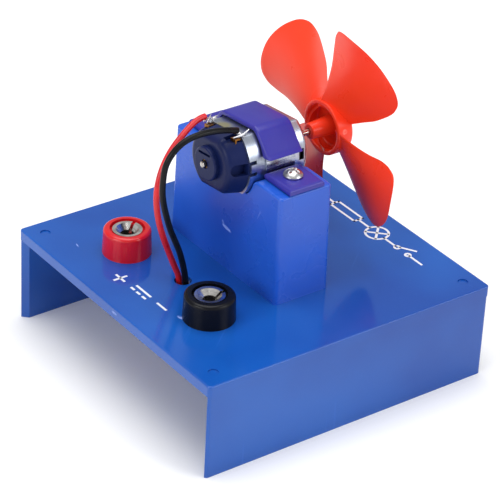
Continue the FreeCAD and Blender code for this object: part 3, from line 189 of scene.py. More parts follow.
def moulded_plastic(name, dark, light, gloss=(0.2, 0.3), grain=0.25, soft=0.0, waves=0.03, scuffed=0.5,
                    shine=0.5, marks=()):
    """Injection moulded plastic: colour drift, sink waves, a fine grain, light scuffs and named marks."""
    finish = Finish(name)
    drift = finish.noise(0.035, detail=2.0)
    body = finish.tint(drift, dark, light)
    specks = finish.spread(finish.noise(0.0011, detail=2.0), 0.0, 0.10 * scuffed, start=0.62, end=0.75)
    worn = tuple(min(1.0, channel * 1.6 + 0.03) for channel in light[:3]) + (1.0,)
    bared = tuple(min(1.0, channel * 1.5 + 0.3) for channel in light[:3]) + (1.0,)
    lines = scratches(finish, 0.0016, 0.03, (0.0, 0.0, 0.7), 0.70)
    patches = finish.spread(finish.noise(0.018, detail=2.0), 0.0, 0.35 * scuffed, start=0.45, end=0.65)
    scuff = finish.sum_of(lines, patches, "MULTIPLY")
    colour = finish.mix(finish.sum_of(specks, scuff), body, worn)
    ragged = finish.spread(finish.noise(0.0012, detail=3.0), 0.25, 1.0, start=0.35, end=0.6)
    for centre, reach, turn, strength in marks:
        mark = finish.sum_of(finish.spot(centre, reach, turn), strength, "MULTIPLY")
        mark = finish.sum_of(mark, ragged, "MULTIPLY")
        colour = finish.mix(mark, colour, bared)
        scuff = finish.sum_of(scuff, mark, "MAXIMUM")
    smudges = finish.noise(0.012, detail=4.0, distort=0.4)
    smooth = finish.spread(smudges, gloss[0], gloss[1])
    rough = finish.sum_of(smooth, finish.sum_of(scuff, 0.25, "MULTIPLY"))
    waved = finish.bump(finish.noise(0.016, detail=1.0), waves * MM)
    grained = finish.bump(finish.noise(0.00045, detail=3.0), 0.006 * MM, strength=grain, under=waved)
    return finish.feed(Base_Color=colour, Roughness=rough, Normal=grained, Subsurface_Weight=soft,
                       Subsurface_Scale=1.5 * MM, IOR=1.5, Specular_IOR_Level=shine)


def rolled_metal(name, dark, light, gloss=(0.18, 0.34), along=(0.0, 0.0, 0.0), lines=0.3, streak=0.0006):
    """Rolled or plated sheet: fine lines along one direction, smudges and faint stains."""
    finish = Finish(name)
    vector = finish.stretched((1.0, 0.04, 1.0), turn=along)
    grain = finish.noise(streak, detail=4.0, vector=vector)
    cloud = finish.noise(0.006, detail=3.0, distort=0.5)
    blend = finish.sum_of(finish.sum_of(grain, 0.45, "MULTIPLY"), finish.sum_of(cloud, 0.55, "MULTIPLY"))
    colour = finish.tint(blend, dark, light, start=0.35, end=0.62)
    rough = finish.spread(blend, gloss[1], gloss[0], start=0.3, end=0.7)
    ridges = finish.bump(grain, 0.01 * MM, strength=lines)
    dents = finish.bump(finish.noise(0.004, detail=1.0), 0.012 * MM, strength=0.5, under=ridges)
    return finish.feed(Base_Color=colour, Roughness=rough, Metallic=1.0, Normal=dents)


def satin_plate(name, dark, light, spot_tone, toned_spots, gloss=(0.27, 0.36)):
    """Bright plated shell: level draw lines round it, faint smudges, and duller spots tinted towards a given
    colour.
    """
    finish = Finish(name)
    lines = finish.noise(0.0005, detail=3.0, vector=finish.stretched((0.06, 1.0, 0.06)))
    cloud = finish.noise(0.009, detail=2.0)
    blend = finish.sum_of(finish.sum_of(lines, 0.3, "MULTIPLY"), finish.sum_of(cloud, 0.7, "MULTIPLY"))
    colour = finish.tint(blend, dark, light, start=0.36, end=0.62)
    rough = finish.spread(blend, gloss[1], gloss[0])
    for centre, reach, turn in toned_spots:
        spot = finish.spot(centre, reach, turn, soft=0.5)
        colour = finish.mix(spot, colour, spot_tone)
        rough = finish.sum_of(rough, finish.sum_of(spot, 0.2, "MULTIPLY"))
    return finish.feed(Base_Color=colour, Roughness=rough, Metallic=1.0,
                       Normal=finish.bump(lines, 0.004 * MM, strength=0.25))


def turned_metal(name, dark, light, gloss=(0.12, 0.28), lines=0.25):
    """Turned or ground metal: level tool lines round it, and small stains."""
    finish = Finish(name)
    vector = finish.stretched((0.05, 0.05, 1.0))
    rings = finish.noise(0.00022, detail=3.0, vector=vector)
    spot_tone = finish.noise(0.0022, detail=3.0)
    blend = finish.sum_of(finish.sum_of(rings, 0.4, "MULTIPLY"), finish.sum_of(spot_tone, 0.6, "MULTIPLY"))
    colour = finish.tint(blend, dark, light, start=0.38, end=0.62)
    rough = finish.spread(blend, gloss[1], gloss[0])
    return finish.feed(Base_Color=colour, Roughness=rough, Metallic=1.0,
                       Normal=finish.bump(rings, 0.006 * MM, strength=lines))


def insulation(name, dark, light, shine=0.5):
    """Soft lead insulation: a satin skin with faint flow marks and dust."""
    finish = Finish(name)
    cloud = finish.noise(0.004, detail=3.0)
    colour = finish.tint(cloud, dark, light)
    rough = finish.spread(finish.noise(0.002, detail=3.0), 0.26, 0.42)
    skin = finish.bump(finish.noise(0.0006, detail=2.0), 0.02 * MM, strength=0.35)
    return finish.feed(Base_Color=colour, Roughness=rough, Normal=skin, Specular_IOR_Level=shine)


def sintered(name, dark, light, metallic, rough=(0.5, 0.7)):
    """Pressed powder or stacked sheet: a matt, speckled surface."""
    finish = Finish(name)
    grit = finish.noise(0.0005, detail=3.0)
    return finish.feed(Base_Color=finish.tint(grit, dark, light), Metallic=metallic,
                       Roughness=finish.spread(grit, rough[0], rough[1]),
                       Normal=finish.bump(grit, 0.02 * MM, strength=0.5))


# Worn spots on the plastics, in millimetres: centre, half widths, turn and strength
PLATE_MARKS = [
    ((16.3, -37.0, 31.0), (1.5, 0.7, 0.6), (0.0, 0.0, 0.2), 1.0),
    ((2.2, -50.5, 29.4), (1.4, 0.6, 0.5), (0.0, 0.0, 0.0), 0.55),
    ((-32.7, -40.8, 31.0), (1.2, 0.25, 0.4), (0.0, 0.0, -0.2), 0.7)]
TOWER_MARKS = [
    ((0.4, -10.2, 44.4), (2.5, 0.9, 0.6), (0.0, 0.15, 0.0), 1.0),
    ((-1.4, -10.2, 45.3), (0.4, 0.8, 1.3), (0.0, -0.5, 0.0), 0.7),
    ((15.5, -9.9, 56.7), (0.22, 0.8, 2.5), (0.0, 0.4, 0.0), 0.35)]
FAN_MARKS = [((8.4, 25.2, 70.2), (0.5, 1.0, 1.0), (0.0, 0.0, 0.0), 0.6)]
# Duller beige-tinted spots on the can's top, in millimetres: centre, half widths and turn
CAN_TONED_SPOTS = [((-3.2, -10.7, 77.2), (3.4, 3.0, 1.6), (0.0, 0.0, 0.35))]

finishes = {
    "stand_plastic": moulded_plastic(
        "stand_plastic", linear(14, 70, 157), linear(22, 88, 177), gloss=(0.09, 0.17), soft=0.04, waves=0.015,
        marks=PLATE_MARKS),
    "tower_plastic": moulded_plastic(
        "tower_plastic", linear(25, 78, 186), linear(35, 95, 208), gloss=(0.24, 0.34), soft=0.05, waves=0.03,
        marks=TOWER_MARKS),
    "clamp_plastic": moulded_plastic(
        "clamp_plastic", linear(34, 31, 134), linear(50, 45, 154), gloss=(0.3, 0.42), soft=0.05, waves=0.015),
    "cap_plastic": moulded_plastic(
        "cap_plastic", linear(11, 22, 63), linear(20, 33, 83), gloss=(0.3, 0.42), scuffed=0.5, shine=0.18),
    "fan_plastic": moulded_plastic(
        "fan_plastic", linear(248, 56, 26), linear(255, 68, 34), gloss=(0.26, 0.32), scuffed=0.0, waves=0.0,
        grain=0.1, shine=0.35, marks=FAN_MARKS),
    "red_plastic": moulded_plastic(
        "red_plastic", linear(196, 14, 26), linear(222, 28, 38), gloss=(0.16, 0.26), soft=0.05, waves=0.01),
    "black_plastic": moulded_plastic(
        "black_plastic", linear(6, 7, 12), linear(12, 13, 20), gloss=(0.22, 0.34), waves=0.01, shine=0.2),
    "plated_can": satin_plate(
        "plated_can", linear(150, 158, 174), linear(194, 202, 216), linear(168, 164, 134), CAN_TONED_SPOTS),
    "strap_steel": rolled_metal("strap_steel", linear(120, 126, 146), linear(196, 200, 210)),
    "plated_screw": turned_metal("plated_screw", linear(170, 170, 174), linear(226, 226, 226), gloss=(0.24, 0.36)),
    "socket_metal": turned_metal("socket_metal", linear(182, 180, 176), linear(236, 234, 230), lines=0.5),
    "shaft_steel": turned_metal("shaft_steel", linear(150, 144, 138), linear(208, 204, 198)),
    "tab_brass": rolled_metal("tab_brass", linear(112, 70, 26), linear(166, 112, 48), gloss=(0.3, 0.45)),
    "brush_copper": rolled_metal("brush_copper", linear(168, 98, 56), linear(214, 140, 92)),
    "spring_steel": rolled_metal("spring_steel", linear(110, 112, 120), linear(160, 162, 170)),
    "lug_tin": rolled_metal("lug_tin", linear(168, 168, 162), linear(214, 214, 208)),
    "nut_brass": turned_metal("nut_brass", linear(176, 156, 104), linear(222, 204, 150)),
    "bush_bronze": sintered("bush_bronze", linear(140, 104, 58), linear(186, 148, 92), 1.0),
    "magnet_ferrite": sintered("magnet_ferrite", linear(44, 44, 48), linear(66, 66, 70), 0.0),
    "core_steel": sintered("core_steel", linear(104, 104, 108), linear(142, 142, 146), 1.0, (0.35, 0.5)),
    "winding_copper": turned_metal("winding_copper", linear(150, 64, 26), linear(206, 104, 50), lines=0.8),
    "commutator_copper": turned_metal("commutator_copper", linear(176, 106, 66), linear(222, 150, 102)),
    "commutator_plastic": moulded_plastic("commutator_plastic", linear(70, 36, 22), linear(96, 52, 32)),
    "washer_plastic": moulded_plastic("washer_plastic", linear(206, 204, 194), linear(226, 224, 214)),
    "red_insulation": insulation("red_insulation", linear(186, 16, 28), linear(214, 30, 40)),
    "black_insulation": insulation("black_insulation", linear(6, 7, 10), linear(13, 14, 18), shine=0.2),
    "solder_tin": rolled_metal("solder_tin", linear(186, 186, 192), linear(238, 238, 240)),
}


def dress(piece, slot):
    """Give a piece its finish and name the record's slot for it."""
    piece.data.materials.clear()
    piece.data.materials.append(finishes[slot])
    return piece


for part in frame["record"]["subparts"]:
    dress(nodes[part["node"]], part["material_slot"])


# Ways of making a piece

MOTOR_ROLL = math.radians(6.5)
MOTOR_PLACE = Matrix.Translation((0.0, 0.0, axis_height)) @ Matrix.Rotation(-MOTOR_ROLL, 4, "Y")


def finished(name, shape, slot, body, replaced=(), sharp=38.0, finish=None):
    """Close a bmesh and make it an object at the origin that is dressed and rides on its body."""
    bmesh.ops.remove_doubles(shape, verts=shape.verts, dist=MERGE_GAP)
    bmesh.ops.recalc_face_normals(shape, faces=shape.faces)
    mesh = bpy.data.meshes.new(name)
    shape.to_mesh(mesh)
    shape.free()
    mesh.polygons.foreach_set("use_smooth", [True] * len(mesh.polygons))
    mesh.set_sharp_from_angle(angle=math.radians(sharp))
    piece = bpy.data.objects.new(name, mesh)
    bpy.context.scene.collection.objects.link(piece)
    dress(piece, slot)
    if finish:
        piece.data.materials[0] = finish
    if replaced:
        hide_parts(*replaced)
    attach(piece, body)
    return piece


def bevel(shape, edges, width, segments):
    bmesh.ops.bevel(shape, geom=list(edges), offset=width * MM, offset_type="OFFSET", affect="EDGES",
                    segments=segments, profile=0.5, material=-1, clamp_overlap=True)


def turned(shape, outline, steps, axis="Y"):
    """Spin an outline of (radius, place on the axis), in millimetres, into a closed solid."""
    along = Vector((0.0, 1.0, 0.0)) if axis == "Y" else Vector((0.0, 0.0, 1.0))
    verts = [shape.verts.new(Vector((radius, 0.0, 0.0)) * MM + along * place * MM) for radius, place in outline]
    edges = [shape.edges.new(pair) for pair in zip(verts, verts[1:])]
    bmesh.ops.spin(shape, geom=verts + edges, cent=(0.0, 0.0, 0.0), axis=along, angle=2 * math.pi,
                   steps=steps, use_merge=True)
    bmesh.ops.remove_doubles(shape, verts=shape.verts, dist=MERGE_GAP)


def ring_edges(shape, radius, place):
    """The edges of a solid turned about Y that lie on one circle."""
    def on_circle(vert):
        away = math.hypot(vert.co.x, vert.co.z) - radius * MM
        return abs(away) < SAME_PLACE and abs(vert.co.y - place * MM) < SAME_PLACE
    return [edge for edge in shape.edges if all(on_circle(vert) for vert in edge.verts)]


# Hood over the can: a band with a thick round front edge that sits close on the strap, and flared lips

HOOD_FRONT = -6.9
HOOD_BACK = 5.2
HOOD_TOP = 11.0
HOOD_UNDERSIDE = 9.7
HOOD_INNER_RADIUS = 12.35
HOOD_ARC_STEPS = 14
HOOD_TOP_HALF = 8.8
HOOD_LIP_HALF = 14.8
HOOD_LIP_LEVEL = 2.7
HOOD_FLARE = 0.45
HOOD_FLARE_RISE = 0.9
HOOD_SHOULDER_ROUND = 1.9
HOOD_FLARE_ROUND = 0.5
HOOD_FRONT_ROUND = 1.1
HOOD_BACK_ROUND = 0.6
HOOD_EDGE_ROUND = 0.18


def hood():
    shape = bmesh.new()
    slope = (HOOD_LIP_HALF - HOOD_TOP_HALF) / (HOOD_TOP - HOOD_LIP_LEVEL)
    flare_half = HOOD_LIP_HALF - slope * HOOD_FLARE_RISE
    lip_angle = math.asin(HOOD_LIP_LEVEL / HOOD_INNER_RADIUS)
    top_angle = math.asin(HOOD_UNDERSIDE / HOOD_INNER_RADIUS)
    right = [(HOOD_TOP_HALF, HOOD_TOP), (flare_half, HOOD_LIP_LEVEL + HOOD_FLARE_RISE),
             (HOOD_LIP_HALF + HOOD_FLARE, HOOD_LIP_LEVEL)]
    for step in range(HOOD_ARC_STEPS + 1):
        angle = lip_angle + (top_angle - lip_angle) * step / HOOD_ARC_STEPS
        right.append((HOOD_INNER_RADIUS * math.cos(angle), HOOD_INNER_RADIUS * math.sin(angle)))
    outline = right + [(-x, z) for x, z in reversed(right)]
    verts = [shape.verts.new((x * MM, HOOD_FRONT * MM, z * MM)) for x, z in outline]
    front = shape.faces.new(verts)
    grown = bmesh.ops.extrude_face_region(shape, geom=[front])
    moved = [item for item in grown["geom"] if isinstance(item, bmesh.types.BMVert)]
    bmesh.ops.translate(shape, vec=(0.0, (HOOD_BACK - HOOD_FRONT) * MM, 0.0), verts=moved)
    shape.faces.ensure_lookup_table()
    bmesh.ops.recalc_face_normals(shape, faces=shape.faces)

    def long_edges(x, z):
        def there(vert):
            return abs(abs(vert.co.x) - x * MM) < SAME_PLACE and abs(vert.co.z - z * MM) < SAME_PLACE
        return [edge for edge in shape.edges if all(there(vert) for vert in edge.verts)
                and abs(edge.verts[0].co.y - edge.verts[1].co.y) > MM]

    bevel(shape, long_edges(HOOD_TOP_HALF, HOOD_TOP), HOOD_SHOULDER_ROUND, 7)
    bevel(shape, long_edges(flare_half, HOOD_LIP_LEVEL + HOOD_FLARE_RISE), HOOD_FLARE_ROUND, 3)

    def rim(place):
        found = []
        for edge in shape.edges:
            if not all(abs(vert.co.y - place * MM) < SAME_PLACE for vert in edge.verts):
                continue
            sides = [face for face in edge.link_faces if abs(face.normal.y) < 0.5]
            if not sides:
                continue
            middle = (edge.verts[0].co + edge.verts[1].co) / 2
            outward = Vector((middle.x, 0.0, middle.z)).dot(sides[0].normal) > 0
            lip = sides[0].normal.z < -0.9 and middle.z < (HOOD_LIP_LEVEL + 0.1) * MM
            if outward and not lip:
                found.append(edge)
        return found

    bmesh.ops.recalc_face_normals(shape, faces=shape.faces)
    bevel(shape, rim(HOOD_FRONT), HOOD_FRONT_ROUND, 6)
    bevel(shape, rim(HOOD_BACK), HOOD_BACK_ROUND, 4)
    sharp = [edge for edge in shape.edges if len(edge.link_faces) == 2 and edge.calc_face_angle() > 0.9]
    bevel(shape, sharp, HOOD_EDGE_ROUND, 2)
    bmesh.ops.transform(shape, matrix=MOTOR_PLACE, verts=shape.verts)
    return finished("hood_cover", shape, "clamp_plastic", "stand", ["clamp_hood"])


# Clamp screws: a domed head with a soft cross in its crown

SCREW_PLACES = ((18.3, -0.9), (-18.3, -0.9))
HEAD_RADIUS = 2.95
HEAD_HEIGHT = 2.2
HEAD_RIM = 0.6
SHANK_RADIUS = 1.5
SHANK_LENGTH = 9.0
CROSS_REACH = 1.9
CROSS_HALF_WIDTH = 0.42
CROSS_DEPTH = 0.85
DOME_RINGS = 22


def screws():
    shape = bmesh.new()
    rise = HEAD_HEIGHT - HEAD_RIM
    crown = (HEAD_RADIUS ** 2 + rise ** 2) / (2 * rise)
    lean = math.asin(HEAD_RADIUS / crown)
    outline = [(0.0, -SHANK_LENGTH), (SHANK_RADIUS, -SHANK_LENGTH), (SHANK_RADIUS, 0.0),
               (HEAD_RADIUS - 0.15, 0.0), (HEAD_RADIUS, 0.15), (HEAD_RADIUS, HEAD_RIM - 0.1)]
    for ring in range(DOME_RINGS + 1):
        angle = lean * (1 - ring / DOME_RINGS)
        outline.append((crown * math.sin(angle), HEAD_HEIGHT - crown + crown * math.cos(angle)))
    turned(shape, outline, 96, axis="Z")
    for vert in shape.verts:
        if vert.co.z < HEAD_RIM * MM:
            continue
        across, along = sorted((abs(vert.co.x) / MM, abs(vert.co.y) / MM))
        inside = max(0.0, 1 - (across / CROSS_HALF_WIDTH) ** 4) * max(0.0, 1 - (along / CROSS_REACH) ** 3)
        vert.co.z -= CROSS_DEPTH * inside * MM
    head_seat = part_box("clamp_feet")[1].z
    first = shape.verts[:] + shape.edges[:] + shape.faces[:]
    copies = bmesh.ops.duplicate(shape, geom=first)["geom"]
    twin = [item for item in copies if isinstance(item, bmesh.types.BMVert)]
    same = [item for item in first if isinstance(item, bmesh.types.BMVert)]
    for verts, (x, y), turn in ((same, SCREW_PLACES[0], 0.35), (twin, SCREW_PLACES[1], 1.1)):
        where = Matrix.Translation((x * MM, y * MM, head_seat)) @ Matrix.Rotation(turn, 4, "Z")
        bmesh.ops.transform(shape, matrix=where, verts=verts)
    return finished("dome_screws", shape, "plated_screw", "stand", ["clamp_screws"], sharp=50.0)


# Fan: a cup-shaped hub turned about the shaft and four twisted blades with round edges

FAN_RADIUS = 34.7
FAN_TURN = math.radians(90 - 62.2)
HUB_FRONT = 18.3
HUB_RIM = 23.0
HUB_BACK = 28.6
HUB_FLOOR = 27.1
HUB_RADIUS = 8.6
HUB_INSIDE = 7.2
TUBE_RADIUS = 2.4
TUBE_ROOT = 3.1
TUBE_BORE = 1.02
TUBE_BORE_END = 27.87
BLADES = 4
BLADE_THICKNESS = 1.3
BLADE_SETBACK = 1.6
BLADE_LEAN = 0.8
BLADE_PITCHES = (22.0, 8.0, 14.0)
BLADE_CURVES = (18.0, 65.0)
BLADE_ROOT_SHARE = 0.22
# A blade's outline seen along the shaft, from its root round its tip: share outwards, share across
blade_outline_shares = [
    (0.15, 0.14), (0.36, 0.19), (0.54, 0.26), (0.70, 0.35), (0.83, 0.38), (0.92, 0.29), (0.98, 0.11),
    (0.99, -0.05), (0.95, -0.22), (0.86, -0.37), (0.72, -0.42), (0.49, -0.33), (0.34, -0.23), (0.15, -0.10)]
# Where along the outline the root's arc, the tip and the other end of the root's arc lie
ROOT_START, TIP_START, TIP_END, ROOT_END = 0.12, 5.0, 9.0, 12.8


def on_outline(place):
    """A point of the smooth curve through the outline's points, counted in points from the first."""
    points = [Vector(point) for point in blade_outline_shares]
    span = min(int(place), len(points) - 2)
    step = place - span
    before = points[max(span - 1, 0)]
    start, end = points[span], points[span + 1]
    after = points[min(span + 2, len(points) - 1)]
    return 0.5 * (start * 2 + (end - before) * step + (before * 2 - start * 5 + end * 4 - after) * step ** 2
                  + (start * 3 - before - end * 3 + after) * step ** 3)


def blade_level(out, across):
    """How far back the blade's middle surface lies at a share outwards and a distance across."""
    travel = (out - BLADE_ROOT_SHARE) / (1 - BLADE_ROOT_SHARE)
    root, middle, tip = BLADE_PITCHES
    ends = root * (1 - travel) + tip * travel
    pitch = math.radians(ends - ((root + tip) / 2 - middle) * 4 * travel * (1 - travel))
    curve = 1 / ((1 - travel) / BLADE_CURVES[0] + travel / BLADE_CURVES[1])
    chord = across / math.cos(pitch)
    return -chord * math.sin(pitch) + chord * chord / (2 * curve) + BLADE_LEAN * travel


def blade():
    shape = bmesh.new()
    bmesh.ops.create_grid(shape, x_segments=26, y_segments=32, size=0.5)
    left_root, right_root = on_outline(ROOT_START), on_outline(ROOT_END)
    left_angle = math.atan2(left_root.y, left_root.x)
    right_angle = math.atan2(right_root.y, right_root.x)

    def root_arc(share):
        angle = left_angle + (right_angle - left_angle) * share
        reach = left_root.length + (right_root.length - left_root.length) * share
        return Vector((reach * math.cos(angle), reach * math.sin(angle)))

    def blend(first, second, share):
        return first * (1 - share) + second * share

    left_tip, right_tip = on_outline(TIP_START), on_outline(TIP_END)
    for vert in shape.verts:
        across, out = vert.co.x + 0.5, vert.co.y + 0.5
        left = on_outline(ROOT_START + (TIP_START - ROOT_START) * out)
        right = on_outline(ROOT_END + (TIP_END - ROOT_END) * out)
        tip = on_outline(TIP_START + (TIP_END - TIP_START) * across)
        corners = blend(blend(left_root, right_root, across), blend(left_tip, right_tip, across), out)
        spot = blend(left, right, across) + blend(root_arc(across), tip, out) - corners
        level = blade_level(spot.x, spot.y * FAN_RADIUS)
        vert.co = Vector((-spot.y * FAN_RADIUS, level, spot.x * FAN_RADIUS)) * MM
    before = sum((vert.co.y for vert in shape.verts)) / len(shape.verts)
    bmesh.ops.solidify(shape, geom=shape.faces[:], thickness=BLADE_THICKNESS * MM)
    after = sum((vert.co.y for vert in shape.verts)) / len(shape.verts)
    bmesh.ops.translate(shape, vec=(0.0, before - after, 0.0), verts=shape.verts)
    rim = [edge for edge in shape.edges if len(edge.link_faces) == 2 and edge.calc_face_angle() > 0.8]
    bevel(shape, rim, 0.45, 3)
    return shape


def fan():
    shape = bmesh.new()
    turned(shape, [(0.0, TUBE_BORE_END), (TUBE_BORE, TUBE_BORE_END), (TUBE_BORE, HUB_FRONT),
                   (TUBE_RADIUS, HUB_FRONT), (TUBE_ROOT, HUB_FLOOR), (HUB_INSIDE - 0.1, HUB_FLOOR),
                   (HUB_INSIDE, HUB_RIM), (HUB_RADIUS, HUB_RIM), (HUB_RADIUS, HUB_BACK), (0.0, HUB_BACK)], 96)
    for radius, place, width in (
            (HUB_RADIUS, HUB_BACK, 1.1), (HUB_RADIUS, HUB_RIM, 0.4), (HUB_INSIDE, HUB_RIM, 0.4),
            (TUBE_RADIUS, HUB_FRONT, 0.35), (TUBE_BORE, HUB_FRONT, 0.12), (HUB_INSIDE - 0.1, HUB_FLOOR, 0.8),
            (TUBE_ROOT, HUB_FLOOR, 0.6)):
        bevel(shape, ring_edges(shape, radius, place), width, 4)
    one = blade()
    bmesh.ops.translate(one, vec=(0.0, (HUB_RIM + BLADE_SETBACK) * MM, 0.0), verts=one.verts)
    bmesh.ops.rotate(one, cent=(0.0, 0.0, 0.0), matrix=Matrix.Rotation(FAN_TURN, 3, "Y"), verts=one.verts)
    mesh = bpy.data.meshes.new("blade")
    for _ in range(BLADES):
        one.to_mesh(mesh)
        shape.from_mesh(mesh)
        quarter = Matrix.Rotation(2 * math.pi / BLADES, 3, "Y")
        bmesh.ops.rotate(one, cent=(0.0, 0.0, 0.0), matrix=quarter, verts=one.verts)
    one.free()
    bpy.data.meshes.remove(mesh)
    bmesh.ops.translate(shape, vec=(0.0, 0.0, axis_height), verts=shape.verts)
    return finished("fan_moulding", shape, "fan_plastic", "rotor", ["fan"])


# Bare strand ends of the leads, twisted round the terminal tabs

BLACK_STRANDS = [
    [(4.6, -12.3, 79.7), (5.4, -11.7, 79.2), (6.4, -11.2, 78.8), (7.4, -10.6, 78.3)],
    [(6.4, -14.0, 78.5), (6.6, -12.4, 78.6), (6.7, -11.2, 78.7), (6.5, -9.7, 79.1), (6.3, -8.5, 79.7)]]
RED_STRANDS = [
    [(-7.7, -13.9, 78.6), (-8.0, -13.2, 78.1), (-7.6, -12.6, 77.6), (-7.0, -12.7, 77.2)],
    [(-7.3, -12.1, 79.2), (-7.2, -12.8, 78.3), (-7.0, -13.3, 77.6), (-6.9, -13.8, 76.9)],
    [(-7.4, -12.3, 78.5), (-6.9, -12.0, 78.0), (-6.4, -11.7, 77.4)],
    [(-8.6, -13.6, 77.9), (-8.1, -14.2, 77.4), (-7.5, -14.0, 77.6), (-7.2, -13.3, 78.1)]]
STRANDS_IN_BUNDLE = 7
STRAND_RADIUS = 0.15
BUNDLE_SPREAD = 0.24


def strands(name, bundles, replaced):
    """Bundles of thin wires that twist about each bundle's line and come together at its two ends."""
    curve = bpy.data.curves.new(name, "CURVE")
    curve.dimensions = "3D"
    curve.bevel_depth = STRAND_RADIUS * MM
    curve.bevel_resolution = 3
    curve.use_fill_caps = True
    for bundle in bundles:
        for number in range(STRANDS_IN_BUNDLE):
            spline = curve.splines.new("NURBS")
            spline.points.add(len(bundle) - 1)
            for place, (point, spot) in enumerate(zip(spline.points, bundle)):
                share = place / (len(bundle) - 1)
                angle = 2 * math.pi * number / STRANDS_IN_BUNDLE + 2.6 * share
                reach = BUNDLE_SPREAD * (0.35 + 0.65 * math.sin(math.pi * share))
                where = Vector(spot) + Vector((math.cos(angle), 0.3 * math.sin(angle), math.sin(angle))) * reach
                point.co = (*(where * MM), 1.0)
                point.radius = 0.35 + 0.75 * math.sin(math.pi * share)
            spline.order_u = 3
            spline.use_endpoint_u = True
            spline.resolution_u = 6
    holder = bpy.data.objects.new(name + "_line", curve)
    mesh = bpy.data.meshes.new_from_object(holder)
    bpy.data.objects.remove(holder)
    shape = bmesh.new()
    shape.from_mesh(mesh)
    bpy.data.meshes.remove(mesh)
    return finished(name, shape, "solder_tin", "stand", replaced)


# Print on the plate: plain signs by the sockets in front, a row of circuit symbols behind

INK_HEIGHT = 0.04
INK_SINK = 0.02
STROKE = 0.75


def stroke(shape, start, end, width=STROKE):
    """One printed line between two places on the plate, in millimetres."""
    run = Vector(end) - Vector(start)
    middle = (Vector(start) + Vector(end)) / 2
    height = (INK_HEIGHT + INK_SINK) * MM
    where = (Matrix.Translation((middle.x * MM, middle.y * MM, plate_top - INK_SINK * MM + height / 2))
             @ Matrix.Rotation(math.atan2(run.y, run.x), 4, "Z")
             @ Matrix.Diagonal(((run.length + width) * MM, width * MM, height, 1.0)))
    bmesh.ops.create_cube(shape, size=1.0, matrix=where)


def hoop(shape, centre, radius):
    """A printed circle on the plate."""
    inner, outer = radius - STROKE / 2, radius + STROKE / 2
    low, high = plate_top - INK_SINK * MM, plate_top + INK_HEIGHT * MM
    corners = [(inner, low), (outer, low), (outer, high), (inner, high)]
    verts = [shape.verts.new(((centre[0] + reach) * MM, centre[1] * MM, level)) for reach, level in corners]
    edges = [shape.edges.new((one, after)) for one, after in zip(verts, verts[1:] + verts[:1])]
    bmesh.ops.spin(shape, geom=verts + edges, cent=(centre[0] * MM, centre[1] * MM, 0.0), axis=(0.0, 0.0, 1.0),
                   angle=2 * math.pi, steps=40, use_merge=True)


def front_signs(shape):
    """Plus, direct current and minus, in a row between the front edge and the sockets."""
    plus, minus, middle = (-10.6, -40.0), (8.6, -38.4), (-1.0, -39.2)
    stroke(shape, (plus[0] - 2.0, plus[1]), (plus[0] + 2.0, plus[1]))
    stroke(shape, (plus[0], plus[1] - 2.0), (plus[0], plus[1] + 2.0))
    stroke(shape, (minus[0] - 2.0, minus[1]), (minus[0] + 2.0, minus[1]))
    stroke(shape, (middle[0] - 3.4, middle[1] + 1.0), (middle[0] + 3.4, middle[1] + 1.0))
    for place in (-2.9, 0.0, 2.9):
        stroke(shape, (middle[0] + place - 0.55, middle[1] - 0.9), (middle[0] + place + 0.55, middle[1] - 0.9))


def rear_symbols(shape):
    """A battery, a resistor, a lamp and a switch on one line, behind the tower."""
    level = 40.5
    for start, end in ((-26.0, -20.4), (-18.6, -12.6), (-0.6, 5.0), (12.2, 17.6), (24.0, 30.0)):
        stroke(shape, (start, level), (end, level))
    stroke(shape, (-20.4, level - 3.4), (-20.4, level + 3.4))
    stroke(shape, (-18.6, level - 1.7), (-18.6, level + 1.7), width=1.2)
    for side in (-1.6, 1.6):
        stroke(shape, (-12.6, level + side), (-0.6, level + side))
    for end in (-12.6, -0.6):
        stroke(shape, (end, level - 1.6), (end, level + 1.6))
    hoop(shape, (8.6, level), 3.6)
    for side in (-1, 1):
        stroke(shape, (8.6 - 2.4, level - 2.4 * side), (8.6 + 2.4, level + 2.4 * side))
    hoop(shape, (18.4, level), 0.8)
    hoop(shape, (23.6, level), 0.8)
    stroke(shape, (19.0, level + 0.8), (23.2, level + 3.4))


def print_on_plate():
    shape = bmesh.new()
    front_signs(shape)
    rear_symbols(shape)
    ink = moulded_plastic("white_ink", linear(214, 220, 232), linear(236, 240, 246), gloss=(0.35, 0.5), scuffed=1.4)
    return finished("plate_print", shape, "stand_plastic", "stand", finish=ink)


hood()
screws()
fan()
strands("black_strands", BLACK_STRANDS, ["tab_joints"])
strands("red_strands", RED_STRANDS, ["tab_joints"])
print_on_plate()


# Leads: one smooth line each from the terminal tab, through the hole in the plate, to the solder lug

BLACK_ROUTE = [
    (5.0, -11.6, 79.6), (5.6, -18.7, 82.2), (4.9, -29.6, 82.0), (4.0, -35.3, 76.0), (3.6, -36.0, 68.8),
    (3.2, -35.5, 62.6), (2.5, -32.3, 52.4), (2.1, -29.8, 46.9), (1.8, -27.4, 41.3), (1.15, -24.6, 31.0),
    (1.15, -24.9, 23.0), (1.15, -24.9, 14.9), (7.0, -27.4, 11.3), (12.85, -29.9, 14.9), (12.85, -29.9, 22.2)]
RED_ROUTE = [
    (-7.8, -13.8, 78.8), (-7.7, -16.4, 78.9), (-6.7, -21.5, 76.4), (-5.6, -27.1, 72.5), (-4.4, -31.2, 67.3),
    (-3.5, -33.2, 61.0), (-2.8, -33.0, 54.1), (-2.3, -31.4, 47.4), (-1.9, -29.2, 41.1), (-1.6, -27.3, 36.0),
    (-1.2, -25.4, 31.4), (-1.2, -25.6, 23.0), (-1.2, -25.6, 14.2), (-8.2, -27.8, 10.0), (-15.15, -29.9, 14.2),
    (-15.15, -29.9, 22.2)]
LEAD_DIAMETER = 1.85 * MM


